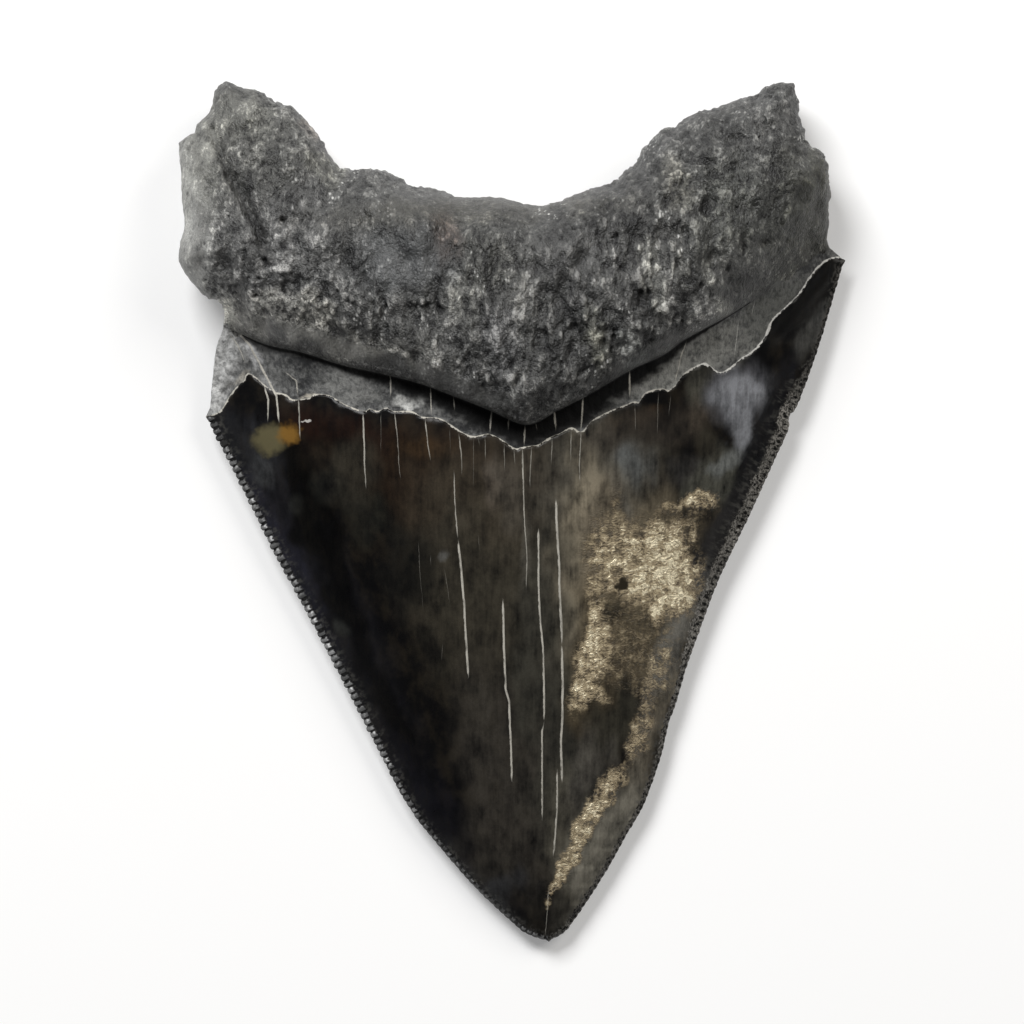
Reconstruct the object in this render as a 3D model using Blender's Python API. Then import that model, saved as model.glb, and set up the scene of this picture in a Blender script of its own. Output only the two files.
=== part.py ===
"""Fossil megalodon tooth, lying on its labial face: one solid of root, bourlette and crown.

The tooth lies in the XY plane with its root towards +Y and its tip towards -Y.
The lingual face, which is the bulging one, looks up along +Z.
The origin is at the middle of the bounding box, on the surface that the tooth rests on.
"""

import math

import bmesh
import bpy
import numpy as np
from mathutils import Vector, noise
from mathutils.geometry import delaunay_2d_cdt

MM = 0.001

# Heights above the surface that the tooth rests on, in millimetres.
ROOT_TOP = 18.9
ROOT_RIM = 6.2
CROWN_RIM = 2.8
TIP_RIM = 1.9
CROWN_CREST = 11.2

# The crown bulges as a lens across, and its crest falls away towards the tip.
LENS_POWER = 2.05
CREST_POWER = 0.66
LABIAL_POWER = 2.3

# The root falls away to both sides and along its lobes, in millimetres.
SIDE_DROP = 4.6
HALF_WIDTH = 34.0
LOBE_DROP = 4.2
LOBE_START = 24.0
LOBE_LENGTH = 26.0
ROOT_ROUNDING = 5.5
ROOT_RISE = 14.0
RIM_RISE = 9.0

# The ledge under the root and the trough below it, deepest in the middle, in millimetres.
LEDGE_HEIGHT = 1.5
LEDGE_WIDTH = 0.5
LEDGE_MIDDLE = 1.6
LEDGE_REACH = 14.0
LEDGE_AT_SIDES = 0.25
TROUGH_DEPTH = 0.8
TROUGH_WIDTH = 1.5
ENAMEL_STEP = 0.3

# The labial face: rounded root, enamel step, and a low arch at the neck and between the lobes.
LABIAL_ROUNDING = 5.0
LABIAL_STEP = 0.3
LABIAL_STEP_REACH = 5.0
NECK_ARCH = 1.3
NECK_HEIGHT = 15.0
NECK_SLOPE = 0.18
NECK_LENGTH = 8.0
ROOT_ARCH = 1.8
ROOT_ARCH_WIDTH = 11.0
FLAT_OFFSET = 0.16

# Lumps of the root: height, and size across and along the tooth, in millimetres.
LUMP_HEIGHT = 1.1
LABIAL_LUMP_HEIGHT = 0.6
LUMP_SIZE = (4.4, 6.2)
KNOB_SIZE = (1.9, 2.9)

# Serrations along the cutting edges, in millimetres.
SERRATION_PITCH = 0.79
SERRATION_DEPTH = 0.24

# Spacing of the mesh points, in millimetres.
ROOT_CELL = 1.5
CROWN_CELL = 2.3
LABIAL_ROOT_CELL = 2.0
LABIAL_CROWN_CELL = 3.0
OUTLINE_CELL = 1.1
LINE_CELL = 1.0
RINGS = ((0.55, 2), (1.5, 3))
RING_CLEARANCE = 0.42
FILL_CLEARANCE = 0.62

# The outline in millimetres, clockwise from the left shoulder of the crown:
# up the left side of the root, along its notched top, and down its right side.
ROOT_LEFT = [
    (-34.0, 10.6), (-33.6, 11.7), (-33.3, 14.4), (-32.9, 18.1), (-32.0, 20.6), (-32.0, 22.4),
    (-32.8, 23.6), (-33.9, 23.7), (-35.5, 25.5), (-36.9, 27.5), (-36.9, 29.3), (-36.3, 31.9),
    (-36.6, 34.4), (-36.7, 37.3), (-36.9, 39.5), (-36.8, 41.3), (-35.1, 42.2), (-35.1, 42.9),
    (-33.5, 44.4), (-32.8, 47.1), (-31.3, 47.8),
]
ROOT_NOTCH = [
    (-29.9, 47.0), (-28.0, 46.7), (-26.4, 45.4), (-24.6, 45.2), (-23.7, 44.4), (-21.6, 42.0),
    (-20.2, 39.5), (-18.6, 38.0), (-15.9, 38.1), (-13.3, 37.5), (-11.2, 36.3), (-8.3, 35.8),
    (-6.1, 35.0), (-2.4, 34.9), (0.0, 34.6), (2.2, 34.0), (4.7, 34.3), (7.6, 35.5),
    (9.1, 35.9), (11.2, 36.6), (12.5, 37.7), (13.6, 38.4), (14.5, 40.2), (15.6, 41.5),
    (16.7, 42.4), (18.1, 42.8), (20.3, 44.3), (22.1, 44.7), (25.0, 45.7), (26.8, 46.3),
    (28.7, 47.4), (29.6, 47.6),
]
ROOT_RIGHT = [
    (31.0, 47.6), (31.4, 46.6), (31.9, 45.3), (31.8, 43.8), (32.6, 42.2), (32.8, 40.8),
    (34.3, 40.1), (35.0, 38.8), (35.3, 36.6), (35.2, 34.4), (35.1, 31.5), (35.0, 29.9),
    (35.9, 28.8), (36.6, 28.4), (37.0, 27.9),
]

# The cutting edges in millimetres, each from its shoulder to the tip.
LEFT_EDGE = [
    (-34.0, 10.6), (-33.4, 9.1), (-31.8, 6.0), (-28.8, 0.0), (-26.4, -4.9), (-23.8, -9.6),
    (-18.9, -18.9), (-14.1, -28.2), (-12.5, -31.3), (-10.5, -34.4), (-9.2, -36.0), (-6.6, -39.1),
    (-3.8, -42.2), (-0.5, -45.3), (1.6, -47.0), (4.0, -47.8),
]
RIGHT_EDGE = [
    (37.0, 27.9), (36.5, 26.2), (34.7, 20.0), (33.7, 16.9), (32.6, 13.8), (31.6, 11.4),
    (30.9, 10.6), (30.8, 9.1), (29.4, 6.0), (26.6, -0.2), (25.1, -3.3), (22.9, -8.0),
    (20.6, -14.2), (19.5, -17.3), (18.6, -20.4), (18.1, -22.0), (17.5, -23.6), (16.8, -26.7),
    (15.8, -29.8), (14.6, -32.9), (12.8, -36.0), (11.1, -39.1), (9.2, -42.2), (7.1, -45.3),
    (5.8, -46.9), (4.0, -47.8),
]

# Where the lower edge of the root ends in a ledge, from left to right.
ROOT_LEDGE = [
    (-31.3, 20.4), (-27.4, 18.6), (-23.1, 17.6), (-18.7, 16.2), (-14.6, 15.3), (-10.3, 14.2),
    (-6.8, 12.9), (-2.7, 11.3), (1.6, 9.6), (4.9, 11.1), (8.6, 13.0), (13.2, 15.7),
    (16.7, 17.3), (19.2, 19.1), (24.1, 21.8), (28.7, 24.8), (34.6, 28.8),
]

# Where the enamel starts on the lingual and on the labial face, from left to right.
LINGUAL_MARGIN = [
    (-33.6, 10.8), (-31.3, 12.9), (-29.4, 15.3), (-27.4, 14.0), (-24.2, 12.4), (-21.9, 13.0),
    (-19.1, 12.2), (-15.7, 11.3), (-11.1, 11.1), (-8.0, 10.3), (-5.4, 8.7), (-2.7, 8.5),
    (0.3, 7.0), (2.9, 7.4), (6.6, 9.2), (9.6, 10.5), (13.6, 12.2), (16.7, 13.6),
    (19.5, 15.6), (21.8, 16.2), (23.0, 15.4), (25.4, 17.0), (28.2, 19.7), (31.7, 24.0),
    (34.0, 27.2), (36.4, 28.2),
]
LABIAL_MARGIN = [
    (-33.6, 11.4), (-29.0, 15.6), (-22.0, 17.4), (-12.0, 16.6), (-3.0, 14.6), (2.0, 13.8),
    (8.0, 15.0), (17.0, 19.0), (26.0, 23.8), (32.0, 27.0), (36.3, 28.5),
]

# Hollows in the lingual face of the root: place, radius and depth in millimetres.
ROOT_HOLLOWS = [
    (-25.3, 32.2, 1.3, 1.3),
    (-27.1, 27.1, 1.5, 0.7),
    (24.1, 41.0, 1.4, 0.8),
    (27.6, 29.7, 1.4, 0.7),
    (-7.4, 30.8, 2.4, 0.7),
    (-20.4, 37.0, 2.2, 0.5),
]
LOBE_FURROW = [(-33.2, 42.2), (-32.7, 41.0), (-31.0, 37.0), (-28.6, 32.3), (-27.4, 29.4)]
FURROW_WIDTH = 1.3
FURROW_DEPTH = 0.9


def ease(value):
    """Rise smoothly from 0 to 1 as value goes from 0 to 1."""
    held = np.clip(value, 0.0, 1.0)
    return held * held * (3.0 - 2.0 * held)


def quarter_round(value):
    """Rise from 0 to 1 along a quarter of a circle as value goes from 0 to 1."""
    held = np.clip(value, 0.0, 1.0)
    return np.sqrt(1.0 - (1.0 - held) ** 2)


def lengths_along(points):
    """Length from the start of a path to each of its points."""
    steps = np.linalg.norm(np.diff(points, axis=0), axis=1)
    return np.concatenate(([0.0], np.cumsum(steps)))


def smooth_path(control, spacing):
    """Points at an even spacing on a Catmull-Rom curve through the control points."""
    nodes = np.array([control[0], *control, control[-1]], dtype=float)
    dense = []
    for index in range(1, len(nodes) - 2):
        before, start, end, after = nodes[index - 1:index + 3]
        for t in np.linspace(0.0, 1.0, 12, endpoint=False):
            pull = (end - before) * t + (2 * before - 5 * start + 4 * end - after) * t ** 2
            curl = (3 * start - before - 3 * end + after) * t ** 3
            dense.append(start + 0.5 * (pull + curl))
    dense.append(nodes[-1])
    dense = np.array(dense)
    along = lengths_along(dense)
    count = max(2, round(along[-1] / spacing))
    marks = np.linspace(0.0, along[-1], count + 1)
    return np.column_stack([np.interp(marks, along, dense[:, axis]) for axis in (0, 1)])


def outward_normals(path):
    """Unit normals on the left-hand side of a path."""
    tangent = np.gradient(path, axis=0)
    tangent /= np.linalg.norm(tangent, axis=1)[:, None]
    return np.column_stack([-tangent[:, 1], tangent[:, 0]])


def serrated_path(control, outward):
    """A cutting edge with a crest and a notch for each serration."""
    path = smooth_path(control, SERRATION_PITCH / 2)
    shift = np.where(np.arange(len(path)) % 2 == 0, -SERRATION_DEPTH, 0.0)
    shift[[0, -1]] = 0.0
    return path + outward * outward_normals(path) * shift[:, None]


def tooth_outline():
    """The closed outline of the tooth, clockwise from the left shoulder."""
    root = smooth_path(ROOT_LEFT + ROOT_NOTCH + ROOT_RIGHT, OUTLINE_CELL)
    right = serrated_path(RIGHT_EDGE, 1.0)
    left = serrated_path(LEFT_EDGE, -1.0)
    return np.vstack([root, right[1:], left[::-1][1:-1]])


def nearest_on(path, points, closed=False):
    """Distance from each point to a path, and on which side of it the point lies.

    The side is positive to the left of the path's direction.
    """
    starts = path if closed else path[:-1]
    ends = np.roll(path, -1, axis=0) if closed else path[1:]
    along = ends - starts
    gap = points[:, None, :] - starts[None, :, :]
    share = (gap * along).sum(axis=2) / (along ** 2).sum(axis=1)
    share = np.clip(share, 0.0, 1.0)
    offset = gap - share[:, :, None] * along
    distance = np.linalg.norm(offset, axis=2)
    best = distance.argmin(axis=1)
    rows = np.arange(len(points))
    cross = along[best, 0] * gap[rows, best, 1] - along[best, 1] * gap[rows, best, 0]
    return distance[rows, best], np.sign(cross)


def signed_distance(path, points):
    """Distance to a path that runs from left to right: positive on the root's side."""
    distance, side = nearest_on(path, points)
    return distance * side


def inside(outline, points):
    """Whether each point lies within the closed outline."""
    x, y = points[:, 0, None], points[:, 1, None]
    ends = np.roll(outline, -1, axis=0)
    crosses = (outline[:, 1] > y) != (ends[:, 1] > y)
    rise = np.where(ends[:, 1] == outline[:, 1], 1.0, ends[:, 1] - outline[:, 1])
    where = outline[:, 0] + (y - outline[:, 1]) * (ends[:, 0] - outline[:, 0]) / rise
    return (crosses & (x < where)).sum(axis=1) % 2 == 1


def lattice(outline, cell):
    """Points of a triangular lattice that fall within the outline."""
    low, high = outline.min(axis=0), outline.max(axis=0)
    rows = np.arange(low[1], high[1], cell * math.sqrt(3) / 2)
    points = []
    for index, y in enumerate(rows):
        start = low[0] + (index % 2) * cell / 2
        points += [(x, y) for x in np.arange(start, high[0], cell)]
    points = np.array(points)
    return points[inside(outline, points)]


class Sheet:
    """The plan of one face of the tooth: its mesh points, and how far each is from each line."""

    def __init__(self, outline, margin, ledge, root_cell, crown_cell):
        self.outline = outline
        self.margin = margin
        self.ledge = ledge
        self.root_cell = root_cell
        self.crown_cell = crown_cell

    def lines(self):
        """The paths that the mesh has to follow, each kept clear of the outline."""
        paths = [self.margin, self.margin + (0.0, LEDGE_WIDTH)]
        if self.ledge is not None:
            paths += [self.ledge, self.ledge - (0.0, LEDGE_WIDTH)]
        kept = []
        for path in paths:
            distance, _ = nearest_on(self.outline, path, closed=True)
            kept.append(path[inside(self.outline, path) & (distance > LINE_CELL * 0.8)])
        return kept

    def inset_rings(self):
        """Points on rings a little inside the outline, which round its edge off."""
        count = len(self.outline)
        tangent = np.roll(self.outline, -2, axis=0) - np.roll(self.outline, 2, axis=0)
        normal = np.column_stack([tangent[:, 1], -tangent[:, 0]])
        normal /= np.linalg.norm(normal, axis=1)[:, None]
        rings = []
        for depth, stride in RINGS:
            ring = self.outline[np.arange(0, count, stride)]
            ring = ring + normal[np.arange(0, count, stride)] * depth
            distance, _ = nearest_on(self.outline, ring, closed=True)
            rings.append(ring[inside(self.outline, ring) & (distance > depth * 0.8)])
        return np.vstack(rings)

    def fill_points(self):
        """Lattice points, finer in the root, that keep clear of the lines and the rings."""
        fine = lattice(self.outline, self.root_cell)
        coarse = lattice(self.outline, self.crown_cell)
        fine = fine[signed_distance(self.margin, fine) > -1.0]
        coarse = coarse[signed_distance(self.margin, coarse) <= -1.0]
        return np.vstack([fine, coarse])

    def triangles(self):
        """Plan points and triangles of the sheet; the outline's points come first."""
        points = [tuple(point) for point in self.outline]
        count = len(points)
        edges = [(index, (index + 1) % count) for index in range(count)]
        for path in self.lines():
            first = len(points)
            points += [tuple(point) for point in path]
            edges += [(first + index, first + index + 1) for index in range(len(path) - 1)]
        fill_clearance = FILL_CLEARANCE * self.root_cell
        for extra, clearance in ((self.inset_rings(), RING_CLEARANCE),
                                 (self.fill_points(), fill_clearance)):
            held = np.array(points)
            gap = np.linalg.norm(extra[:, None, :] - held[None, :, :], axis=2).min(axis=1)
            points += [tuple(point) for point in extra[gap > clearance]]
        chords = [None]
        while chords:
            result = delaunay_2d_cdt([Vector(point) for point in points], edges, [], 1, 1e-5)
            chords = self.chords(result)
            points += chords
        plan = np.array([tuple(point) for point in result[0]])
        order = [sources[0] for sources in result[3]]
        return plan, result[2], order

    def chords(self, result):
        """Middles of the mesh edges that cut across the sheet from outline to outline.

        Such an edge would be shared by both faces of the tooth, with no thickness between.
        """
        count = len(self.outline)
        middles = []
        for ends in result[1]:
            first, last = (result[3][end][0] for end in ends)
            if max(first, last) < count and (last - first) % count not in (1, count - 1):
                middle = (result[0][ends[0]] + result[0][ends[1]]) / 2
                middles.append(tuple(middle))
        return middles


class Tooth:
    """Heights of the lingual and labial faces over the plan of the tooth."""

    def __init__(self):
        self.outline = tooth_outline()
        self.ledge = smooth_path(ROOT_LEDGE, LINE_CELL)
        self.margin = smooth_path(LINGUAL_MARGIN, LINE_CELL)
        self.labial_margin = smooth_path(LABIAL_MARGIN, LINE_CELL * 1.5)
        self.furrow = smooth_path(LOBE_FURROW, 1.0)
        self.sides = self.side_curves()

    @staticmethod
    def side_curves():
        """The left and right sides of the whole tooth, each as x over a rising y."""
        sides = (ROOT_LEFT + LEFT_EDGE[1:], ROOT_RIGHT + RIGHT_EDGE[1:])
        return [np.array(sorted(side, key=lambda point: point[1])) for side in sides]

    def across(self, points):
        """Place across the tooth: -1 on its left side, 0 in the middle, 1 on its right side."""
        left, right = (np.interp(points[:, 1], side[:, 1], side[:, 0]) for side in self.sides)
        middle, half = (left + right) / 2, np.maximum((right - left) / 2, 0.4)
        return np.clip((points[:, 0] - middle) / half, -1.0, 1.0)

    def crown_share(self, points):
        """How far down the crown each point is: 0 at its base, 1 at its tip."""
        base, tip = LINGUAL_MARGIN[12][1], LEFT_EDGE[-1][1]
        return np.clip((base - points[:, 1]) / (base - tip), 0.0, 1.0)

    def rim(self, points):
        """Height of the outline, where the two faces meet."""
        crown = CROWN_RIM + (TIP_RIM - CROWN_RIM) * self.crown_share(points)
        rise = ease(signed_distance(self.margin, points) / RIM_RISE)
        return crown + (ROOT_RIM - crown) * rise

    def lumps(self, points, seed, height):
        """Knobbly relief of the root, longer along the tooth than across it."""
        relief = []
        for x, y in points:
            broad = noise.noise(Vector((x / LUMP_SIZE[0], y / LUMP_SIZE[1], seed)))
            small = noise.noise(Vector((x / KNOB_SIZE[0], y / KNOB_SIZE[1], seed + 7.0)))
            relief.append(0.6 * broad + 0.55 * small - 0.25 * abs(small))
        return height * np.array(relief)

    def lingual(self, points):
        """Height of the bulging face."""
        x, y = points[:, 0], points[:, 1]
        rim = self.rim(points)
        edge = nearest_on(self.outline, points, closed=True)[0]
        above_ledge = signed_distance(self.ledge, points)
        above_margin = signed_distance(self.margin, points)
        lens = 1.0 - np.abs(self.across(points)) ** LENS_POWER
        crown = rim + CROWN_CREST * (1.0 - self.crown_share(points)) ** CREST_POWER * lens
        middle = np.exp(-((x - LEDGE_MIDDLE) / LEDGE_REACH) ** 2)
        depth = LEDGE_AT_SIDES + (1.0 - LEDGE_AT_SIDES) * middle
        below = np.maximum(-above_ledge, 0.0)
        trough = TROUGH_DEPTH * depth * np.exp(-(below / TROUGH_WIDTH) ** 2)
        neck = crown - trough - ENAMEL_STEP * ease(above_margin / LEDGE_WIDTH)
        top = ROOT_TOP - SIDE_DROP * (x / HALF_WIDTH) ** 2
        top -= LOBE_DROP * ease((y - LOBE_START) / LOBE_LENGTH)
        body = rim + (top - rim) * quarter_round(edge / ROOT_ROUNDING)
        rise = 1.0 - (1.0 - np.clip(above_ledge / ROOT_RISE, 0.0, 1.0)) ** 2
        root = crown + LEDGE_HEIGHT * depth
        root = root + (body - root) * rise
        lumps = self.lumps(points, 2.0, LUMP_HEIGHT)
        root += lumps * ease(edge / 1.4) * ease(0.4 + above_ledge / 2)
        for centre_x, centre_y, radius, hollow in ROOT_HOLLOWS:
            away = np.hypot(x - centre_x, y - centre_y)
            root -= hollow * np.exp(-(away / radius) ** 2)
        furrow = nearest_on(self.furrow, points)[0]
        root -= FURROW_DEPTH * np.exp(-(furrow / FURROW_WIDTH) ** 2) * ease(edge / 1.5)
        height = np.where(above_ledge >= -0.02, root, neck)
        least = rim + 0.35 * ease(edge / 0.8) + 0.03
        return np.maximum(height, least)

    def labial(self, points):
        """Height of the flat face that the tooth lies on."""
        x, y = points[:, 0], points[:, 1]
        rim = self.rim(points)
        edge = nearest_on(self.outline, points, closed=True)[0]
        above = signed_distance(self.labial_margin, points)
        crown = rim * np.abs(self.across(points)) ** LABIAL_POWER
        root = rim * (1.0 - quarter_round(edge / LABIAL_ROUNDING))
        height = crown + (root - crown) * ease((above + 5.0) / 13.0)
        arch = NECK_ARCH * np.exp(-((y - NECK_SLOPE * x - NECK_HEIGHT) / NECK_LENGTH) ** 2)
        arch += ROOT_ARCH * np.exp(-(x / ROOT_ARCH_WIDTH) ** 2) * ease(above / 8.0)
        worn = LABIAL_STEP * np.exp(-np.maximum(above, 0.0) / LABIAL_STEP_REACH)
        worn += self.lumps(points, 11.0, LABIAL_LUMP_HEIGHT)
        height += (arch + worn * ease(above / LEDGE_WIDTH)) * ease(edge / 1.4) - FLAT_OFFSET
        return np.clip(height, 0.0, rim - 0.3 * ease(edge / 0.8) - 0.03)

    def mesh(self):
        """Both faces as triangles over their plans, joined along the outline."""
        front = Sheet(self.outline, self.margin, self.ledge, ROOT_CELL, CROWN_CELL)
        back = Sheet(self.outline, self.labial_margin, None, LABIAL_ROOT_CELL, LABIAL_CROWN_CELL)
        solid = bmesh.new()
        rim = self.rim(self.outline)
        corners = [solid.verts.new(Vector((x, y, z)) * MM)
                   for (x, y), z in zip(self.outline, rim)]
        for sheet, surface, up in ((front, self.lingual, True), (back, self.labial, False)):
            plan, faces, order = sheet.triangles()
            heights = surface(plan)
            verts = []
            for (x, y), z, source in zip(plan, heights, order):
                shared = source < len(corners)
                verts.append(corners[source] if shared else solid.verts.new(Vector((x, y, z)) * MM))
            for face in faces:
                loop = [verts[index] for index in (face if up else reversed(face))]
                solid.faces.new(loop)
        return solid


def fossil_material():
    """Dark mineral-stained enamel and bone."""
    material = bpy.data.materials.new("fossil")
    material.use_nodes = True
    shader = material.node_tree.nodes["Principled BSDF"]
    shader.inputs["Base Color"].default_value = (0.045, 0.042, 0.040, 1.0)
    shader.inputs["Roughness"].default_value = 0.45
    shader.inputs["Metallic"].default_value = 0.0
    return material


def main():
    """Clear the scene and model the tooth in its own collection."""
    for item in list(bpy.data.objects):
        bpy.data.objects.remove(item, do_unlink=True)
    collection = bpy.data.collections.new("megalodon_tooth")
    bpy.context.scene.collection.children.link(collection)
    mesh = bpy.data.meshes.new("tooth")
    solid = Tooth().mesh()
    solid.to_mesh(mesh)
    solid.free()
    mesh.shade_smooth()
    mesh.set_sharp_from_angle(angle=math.radians(40.0))
    mesh.materials.append(fossil_material())
    collection.objects.link(bpy.data.objects.new("tooth", mesh))


main()
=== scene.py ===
"""Visual model of a fossil megalodon tooth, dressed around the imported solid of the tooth.

The tooth lies on its labial face with its root towards +Y and its lingual face up.
Sizes and places are in millimetres unless a name says otherwise; meshes are in metres.
"""

import logging
import math
from collections.abc import Iterator
from dataclasses import dataclass
from enum import Enum
from functools import cached_property

import bmesh
import bpy
import numpy as np
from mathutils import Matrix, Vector, noise


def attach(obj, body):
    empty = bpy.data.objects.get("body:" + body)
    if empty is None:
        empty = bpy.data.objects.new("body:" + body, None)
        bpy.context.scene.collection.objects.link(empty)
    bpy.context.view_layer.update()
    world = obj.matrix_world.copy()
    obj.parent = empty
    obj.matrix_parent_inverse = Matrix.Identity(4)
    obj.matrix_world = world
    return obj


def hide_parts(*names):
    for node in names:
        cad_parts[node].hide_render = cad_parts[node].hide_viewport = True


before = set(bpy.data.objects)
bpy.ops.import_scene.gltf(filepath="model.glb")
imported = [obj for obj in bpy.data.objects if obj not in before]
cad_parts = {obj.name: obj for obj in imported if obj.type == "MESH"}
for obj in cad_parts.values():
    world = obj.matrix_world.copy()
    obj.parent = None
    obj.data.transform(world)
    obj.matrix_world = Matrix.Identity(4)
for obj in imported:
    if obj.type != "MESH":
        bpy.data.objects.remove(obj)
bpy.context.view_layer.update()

LOG = logging.getLogger("megalodon_tooth")
MM = 0.001

# The camera's frame: its middle is above the origin, and points in it are counted from the
# upper left corner.
VIEW_POINTS = 1024
VIEW_POINTS_PER_MM = 9.0

TOOTH_NODE = "tooth"
LEFT_SHOULDER = (-34.0, 10.6)
RIGHT_SHOULDER = (37.0, 27.9)
TIP = (4.0, -47.8)

# Where the lower edge of the root ends in a ledge, from left to right.
ROOT_LEDGE = [
    (-31.3, 20.4), (-27.4, 18.6), (-23.1, 17.6), (-18.7, 16.2), (-14.6, 15.3), (-10.3, 14.2),
    (-6.8, 12.9), (-2.7, 11.3), (1.6, 9.6), (4.9, 11.1), (8.6, 13.0), (13.2, 15.7),
    (16.7, 17.3), (19.2, 19.1), (24.1, 21.8), (28.7, 24.8), (34.6, 28.8),
]

# Where the chipped enamel starts on the lingual face, and the enamel on the labial face.
LINGUAL_MARGIN = [
    (-34.2, 10.6), (-32.5, 11.1), (-31.3, 12.9), (-30.4, 14.0), (-29.7, 14.6), (-29.4, 15.3),
    (-28.7, 15.1), (-27.4, 14.0), (-26.1, 13.2), (-25.1, 13.0), (-24.2, 12.4), (-22.4, 12.6),
    (-21.9, 13.0), (-20.3, 12.9), (-19.1, 12.2), (-17.9, 11.6), (-16.3, 11.1), (-15.7, 11.4),
    (-14.8, 11.1), (-13.9, 11.5), (-13.1, 11.1), (-11.1, 11.1), (-10.0, 10.5), (-8.0, 10.3),
    (-6.8, 9.6), (-5.4, 8.7), (-4.2, 8.3), (-2.7, 8.6), (-1.8, 8.3), (-1.1, 7.9),
    (0.3, 7.0), (1.1, 7.1), (2.3, 7.3), (2.9, 7.4), (4.2, 8.2), (5.4, 8.7),
    (6.6, 9.3), (7.6, 8.8), (8.7, 9.9), (9.6, 10.5), (11.0, 11.2), (12.6, 11.8),
    (13.6, 12.2), (14.0, 12.0), (14.6, 13.0), (15.4, 13.4), (16.7, 13.6), (17.3, 13.4),
    (18.1, 14.0), (18.7, 14.9), (19.5, 15.6), (21.1, 16.4), (21.8, 16.2), (23.0, 15.4),
    (24.4, 16.1), (25.4, 17.0), (26.6, 17.7), (27.7, 18.9), (28.2, 19.7), (28.7, 21.0),
    (29.7, 22.1), (30.7, 23.0), (31.7, 24.0), (32.4, 25.0), (33.1, 26.1), (34.0, 27.2),
    (35.0, 28.0), (35.9, 28.3), (37.2, 28.2),
]
LABIAL_MARGIN = [
    (-34.4, 10.8), (-33.6, 11.4), (-29.0, 15.6), (-22.0, 17.4), (-12.0, 16.6), (-3.0, 14.6),
    (2.0, 13.8), (8.0, 15.0), (17.0, 19.0), (26.0, 23.8), (32.0, 27.0), (36.3, 28.5),
    (37.4, 28.4),
]

Colour = tuple[float, float, float]
Places = tuple[tuple[float, float], ...]
PLAIN: Colour = (1.0, 1.0, 1.0)
FAR = 9.0  # A distance, in millimetres, at which no crack or shade shows
ROWS_AT_ONCE = 4000
SMALL_STAIN = 16.0  # Half width, in the camera's frame, below which a stain is less ragged
# Size of the swirls that make a stain ragged and how far they push, for large and small stains.
SWIRLS: Places = ((4.5, 2.6), (1.5, 1.1))
RUFFLES: Places = ((1.5, 0.7), (0.7, 0.35))


class Face(Enum):
    """The two faces of the tooth and the edge where they meet."""

    LINGUAL = 1
    RIM = 0
    LABIAL = -1


def plan_of(across: float, down: float) -> tuple[float, float]:
    """Plan position of a point of the camera's frame, counted across and down."""
    half = VIEW_POINTS / 2
    return (across - half) / VIEW_POINTS_PER_MM, (half - down) / VIEW_POINTS_PER_MM


def ease(value: np.ndarray) -> np.ndarray:
    """Rise smoothly from 0 to 1 as the value goes from 0 to 1."""
    held = np.clip(value, 0.0, 1.0)
    return held * held * (3.0 - 2.0 * held)


def quarter_round(value: np.ndarray) -> np.ndarray:
    """Rise from 0 to 1 along a quarter of a circle as the value goes from 0 to 1."""
    return np.sqrt(1.0 - (1.0 - np.clip(value, 0.0, 1.0)) ** 2)


def hump(distance: np.ndarray, width: float) -> np.ndarray:
    """Fall from 1 to 0 like a bell as the distance grows past a width."""
    return np.exp(-(distance / width) ** 2)


def scaled(places: np.ndarray, size: tuple[float, ...], seed: float) -> Iterator[Vector]:
    """Places counted in lumps of a size, shifted by a seed; those of a plan are at height 0.

    Args:
        places: One row of x and y, and z if it has one, for each place.
        size: Size of a lump along each of these.
        seed: Shift that sets one pattern apart from another.

    Returns:
        The places, one by one.
    """
    counted = np.zeros((len(places), 3))
    counted[:, :len(size)] = places / np.array(size)
    return map(Vector, counted + seed)


def lattice_noise(places: np.ndarray, size: tuple[float, ...], seed: float) -> np.ndarray:
    """Smooth noise of about -1 to 1, with lumps of a size."""
    return np.array([noise.noise(place) for place in scaled(places, size, seed)])


def cell_noise(places: np.ndarray, size: tuple[float, ...], seed: float) -> np.ndarray:
    """Distance to the middle of a cell: 0 there, and about 0.5 or more between cells."""
    return np.array([noise.voronoi(place)[0][0] for place in scaled(places, size, seed)])


def read(items: bpy.types.bpy_prop_collection, name: str, kind: type = float) -> np.ndarray:
    """Read three numbers of each item of a mesh.

    Args:
        items: The vertices or faces of the mesh.
        name: What is read of each.
        kind: Whether that is fractions or whole numbers.

    Returns:
        One row for each item.
    """
    values = np.empty(len(items) * 3, kind)
    items.foreach_get(name, values)
    return values.reshape(-1, 3)


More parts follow.
